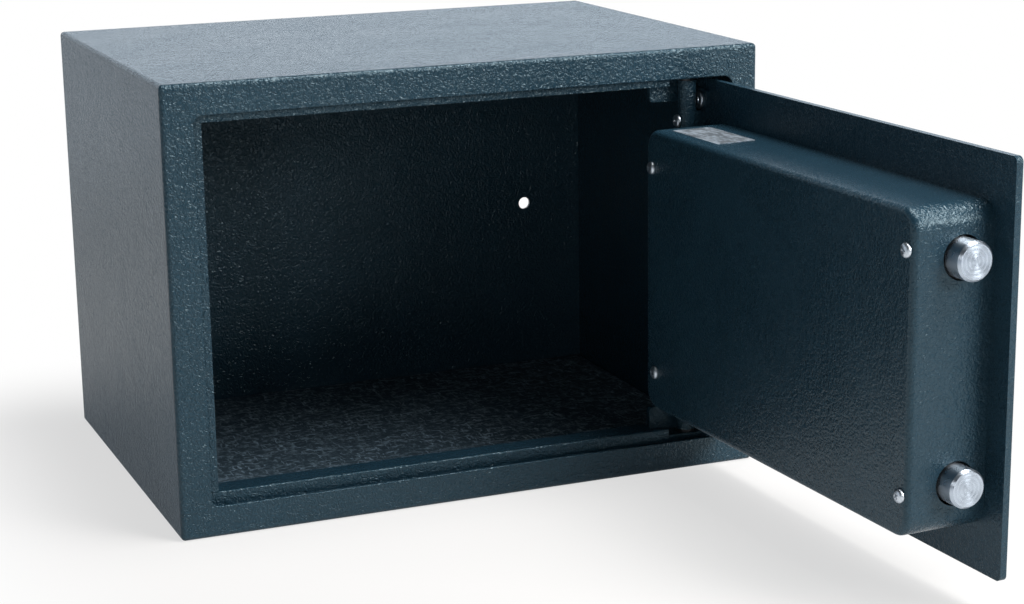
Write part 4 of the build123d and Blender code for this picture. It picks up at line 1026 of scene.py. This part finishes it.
class MakeElectronics(SafeStep, bpy.types.Operator):
    """Make the board's components and the four cells"""

    bl_idname = "steel_safe.make_electronics"
    bl_label = "Make electronics"

    def make(self):
        mesh = bmesh.new()
        for low, high in solids("board_parts"):
            middle = middle_of((low, high))
            size = high - low
            place = Matrix.Translation((middle.x, low.y, middle.z)) @ INWARD
            if abs(size.x - size.z) < 0.0005:
                self.add_can(mesh, size.x / 2, size.y, place)
            else:
                self.add_block(mesh, size.x, size.z, size.y, place)
        mesh.transform(swing)
        piece("board_components", mesh, SHOP["dark"], "door", ("board_parts",))
        cells = solids("batteries")
        centre = sum(middle_of(box).x for box in cells) / len(cells)
        for count, box in enumerate(cells):
            self.add_cell(f"wrapped_cell_{count + 1}", box, middle_of(box).x > centre)

    def add_can(self, mesh, radius, tall, place):
        """A can with a rolled groove near its foot and a stamped top."""
        turned(mesh, [(radius, 0.0), (radius, tall * 0.1), (radius * 0.93, tall * 0.14),
                      (radius * 0.93, tall * 0.18), (radius, tall * 0.22), (radius, tall * 0.94),
                      (radius * 0.92, tall), (radius * 0.8, tall), (radius * 0.78, tall * 0.97),
                      (radius * 0.1, tall * 0.97)], place, 8)

    def add_block(self, mesh, wide, deep, tall, place):
        """A moulded block; a low one is a chip with two rows of legs."""
        leg_reach, leg_width, leg_pitch, chip_height = 0.0012, 0.0007, 0.002, 0.004
        inset = leg_reach if tall < chip_height else 0.0
        body = wide - 2 * inset
        loft(mesh, [ring(body * narrow, deep * short, 0.0004, tall * part, 3)
                    for narrow, short, part in ((1, 1, 0.15), (1, 1, 0.5), (0.95, 0.97, 0.97),
                                                (0.93, 0.95, 1))], place)
        legs = int(deep / leg_pitch) if inset else 3
        for side in (-1, 1):
            for leg in range(legs):
                along = (leg + 0.5) / legs * deep - deep / 2
                spot = Matrix.Translation((side * (wide - leg_reach) / 2, along, 0))
                foot = ring(leg_reach, leg_width, 0.0001, 0.0, 2)
                knee = ring(leg_reach * 2 / 3, leg_width, 0.0001, tall * 0.35, 2)
                loft(mesh, [foot, knee], place @ spot)

    def add_cell(self, name, box, to_hinge):
        """A wrapped cell, with its raised end to the hinge side or away from it."""
        middle, radius, long = round_size(box, "x", "z")
        nub = 0.001
        turn = TO_HINGE if to_hinge else TO_EDGE
        start = box[0].x if to_hinge else box[1].x
        body = long - nub
        mesh = bmesh.new()
        turned(mesh, [(radius * 0.8, 0.0), (radius * 0.95, 0.00015), (radius, 0.0009),
                      (radius, body - 0.0012), (radius * 0.93, body - 0.0002),
                      (radius * 0.86, body), (radius * 0.84, body - 0.0004),
                      (radius * 0.42, body - 0.0003), (radius * 0.38, body + nub * 0.85),
                      (radius * 0.3, body + nub)], steps=10)
        mesh.transform(Matrix.Translation((0, 0, -body / 2)))
        shift = turn @ Vector((0, 0, body / 2))
        place = on_door(start + shift.x, middle.y + shift.y, middle.z + shift.z, turn)
        piece(name, mesh, SHOP["cell"], "door", ("batteries",), place)


class RunWeldBeads(SafeStep, bpy.types.Operator):
    """Run short weld beads along the hinge brackets and the rails"""

    bl_idname = "steel_safe.run_weld_beads"
    bl_label = "Run weld beads"

    def make(self):
        mesh = bmesh.new()
        detail = settings("detail")
        for node in ("hinge_bracket_top", "hinge_bracket_bottom"):
            low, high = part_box(node)
            z = high.z if node.endswith("top") else low.z
            end = high.x - 0.001
            for y in (low.y, low.y + 0.014):
                self.bead(mesh, (end - detail.bracket_bead, y, z), (end, y, z))
        low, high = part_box("stop_rail_top")
        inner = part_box("back_panel")[1].z
        for part in (0.12, 0.42, 0.72):
            x = low.x + (high.x - low.x) * part
            self.bead(mesh, (x, high.y, inner), (x + detail.rail_bead, high.y, inner))
        low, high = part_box("stop_rail_side")
        for part in (0.2, 0.6):
            z = low.z + (high.z - low.z) * part
            self.bead(mesh, (low.x, high.y, z), (low.x, high.y, z + detail.rail_bead))
        piece("cabinet_weld_beads", mesh, SHOP["coat"], "cabinet", sharp=70)

    def bead(self, mesh, start, end):
        """A rippled half-sunk bead from start to end."""
        wide = settings("detail").bead_width
        run = Vector(end) - Vector(start)
        turn = run.to_track_quat("Z", "Y").to_matrix().to_4x4()
        ripples = max(3, int(run.length / (wide * 0.55)))
        rows = []
        for step in range(ripples * 4 + 1):
            part = step / (ripples * 4)
            swell = 0.86 + 0.14 * abs(sin(part * ripples * pi))
            taper = min(1.0, 0.25 + 6 * part, 0.25 + 6 * (1 - part))
            rows.append(circle(wide / 2 * swell * taper, part * run.length, 3))
        loft(mesh, rows, Matrix.Translation(start) @ turn)


class SetStage(SafeStep, bpy.types.Operator):
    """Set the pale floor, the studio's lamps and the camera"""

    bl_idname = "steel_safe.set_stage"
    bl_label = "Set stage"

    def make(self):
        studio = settings("studio")
        self.lay_floor(studio)
        self.light_world(studio)
        for lamp in LAMPS:
            self.hang_lamp(*lamp)
        self.aim_camera(studio)

    def lay_floor(self, studio):
        """A floor that takes shadows by the safe and fades into the backdrop further out."""
        mesh = bmesh.new()
        bmesh.ops.create_grid(mesh, x_segments=8, y_segments=8, size=9.0)
        floor = linked("studio_floor", mesh_data("studio_floor", mesh))
        finish = Finish("pale_floor", studio.floor_shade, 0.85, Specular_IOR_Level=0.2)
        beside = [((place - (low + high) / 2).math("ABSOLUTE") - (high - low) / 2).most(0.0)
                  for place, low, high in zip(finish.axes(finish.here), *cad_box)][:2]
        away = (beside[0] * beside[0] + beside[1] * beside[1]) ** 0.5
        near = studio.floor_lift + away.rise(0.0, studio.floor_fade) * (1 - studio.floor_lift)
        mirrored = away.rise(2 * studio.floor_fade, 7 * studio.floor_fade).most(0.4) * 0.75
        path = finish.add("ShaderNodeLightPath").socket.node
        camera, glossy, through = [Value(finish, path.outputs[name]) for name in
                                   ("Is Camera Ray", "Is Glossy Ray", "Is Transmission Ray")]
        white = finish.add("ShaderNodeEmission")
        backdrop = finish.add("ShaderNodeEmission", inputs={"Color": opaque(studio.backdrop)})
        lit = Value(finish, finish.shader.outputs["BSDF"])
        seen = finish.add("ShaderNodeMixShader", inputs={0: camera * near, 1: lit, 2: white})
        seen = finish.add("ShaderNodeMixShader",
                          inputs={0: glossy.most(through) * mirrored, 1: seen, 2: backdrop})
        finish.feed(finish.tree.nodes["Material Output"].inputs["Surface"], seen)
        floor.data.materials.append(finish.material)

    def light_world(self, studio):
        """Bright behind and around the foot, dark in front and overhead, white to the camera."""
        world = bpy.data.worlds.new("studio_room")
        bpy.context.scene.world = world
        world.use_nodes = True
        tree = NodeTree(world.node_tree)
        sky = tree.add("ShaderNodeTexCoord", output="Generated")
        x, y, z = tree.axes(sky)
        behind = y.rise(-0.25, 0.20) * (1 - z.rise(0.28, 0.48))
        backdrop = behind * (0.55 + x.rise(-0.5, 0.15) * 0.45)
        room = studio.dark_part + backdrop * (studio.backdrop_light - studio.dark_part)
        camera = tree.add("ShaderNodeLightPath", output="Is Camera Ray")
        background = world.node_tree.nodes["Background"]
        tree.feed(background.inputs["Color"], tree.blend(camera, studio.backdrop, (1.0, 1.0, 1.0)))
        tree.feed(background.inputs["Strength"], room.most(camera))

    def hang_lamp(self, name, place, target, wide, tall, watts):
        data = bpy.data.lights.new(name, "AREA")
        data.shape = "RECTANGLE"
        data.size = wide
        data.size_y = tall
        data.energy = watts
        lamp = linked(name, data)
        lamp.location = place
        lamp.rotation_euler = (Vector(target) - Vector(place)).to_track_quat("-Z", "Y").to_euler()

    def aim_camera(self, studio):
        data = bpy.data.cameras.new("photo_camera")
        data.lens = studio.lens
        data.sensor_width = 36.0
        data.sensor_fit = "HORIZONTAL"
        data.clip_start = 0.01
        camera = linked("photo_camera", data)
        aim = Vector(studio.look_at) - Vector(studio.camera_at)
        turn = aim.to_track_quat("-Z", "Y").to_matrix().to_4x4()
        camera.matrix_world = (Matrix.Translation(studio.camera_at) @ turn
                               @ Matrix.Rotation(studio.roll, 4, "Z"))
        bpy.context.scene.camera = camera
        bpy.context.scene.view_settings.view_transform = "Standard"


class SafePanel(bpy.types.Panel):
    """Lists the safe's steps in the sidebar"""

    bl_idname = "VIEW3D_PT_steel_safe"
    bl_label = "Steel safe"
    bl_space_type = "VIEW_3D"
    bl_region_type = "UI"
    bl_category = "Safe"

    def draw(self, context):
        column = self.layout.column()
        for step in STEPS:
            column.operator(step.bl_idname)
        for name, group in GROUPS.items():
            box = self.layout.box()
            box.label(text=group.__doc__)
            for prop in group.__annotations__:
                box.prop(settings(name), prop)


GROUPS = {"coat": CoatSettings, "metal": MetalSettings, "plastic": PlasticSettings,
          "detail": DetailSettings, "studio": StudioSettings}
STEPS = (MixFinishes, CoatSheetMetal, FinishInnerParts, MakeFasteners, MakeBolts, LayFloorMat,
         MakeKnob, MakeKeys, MakeSignalLenses, WindCoil, MakeElectronics, RunWeldBeads, SetStage)


def register():
    for kind in (*GROUPS.values(), *STEPS, SafePanel):
        bpy.utils.register_class(kind)
    for name, group in GROUPS.items():
        setattr(bpy.types.Scene, "steel_safe_" + name, PointerProperty(type=group))


def unregister():
    for name in GROUPS:
        delattr(bpy.types.Scene, "steel_safe_" + name)
    for kind in reversed((*GROUPS.values(), *STEPS, SafePanel)):
        bpy.utils.unregister_class(kind)


def main():
    register()
    for step in STEPS:
        group, name = step.bl_idname.split(".")
        getattr(getattr(bpy.ops, group), name)()


if __name__ == "__main__":
    main()
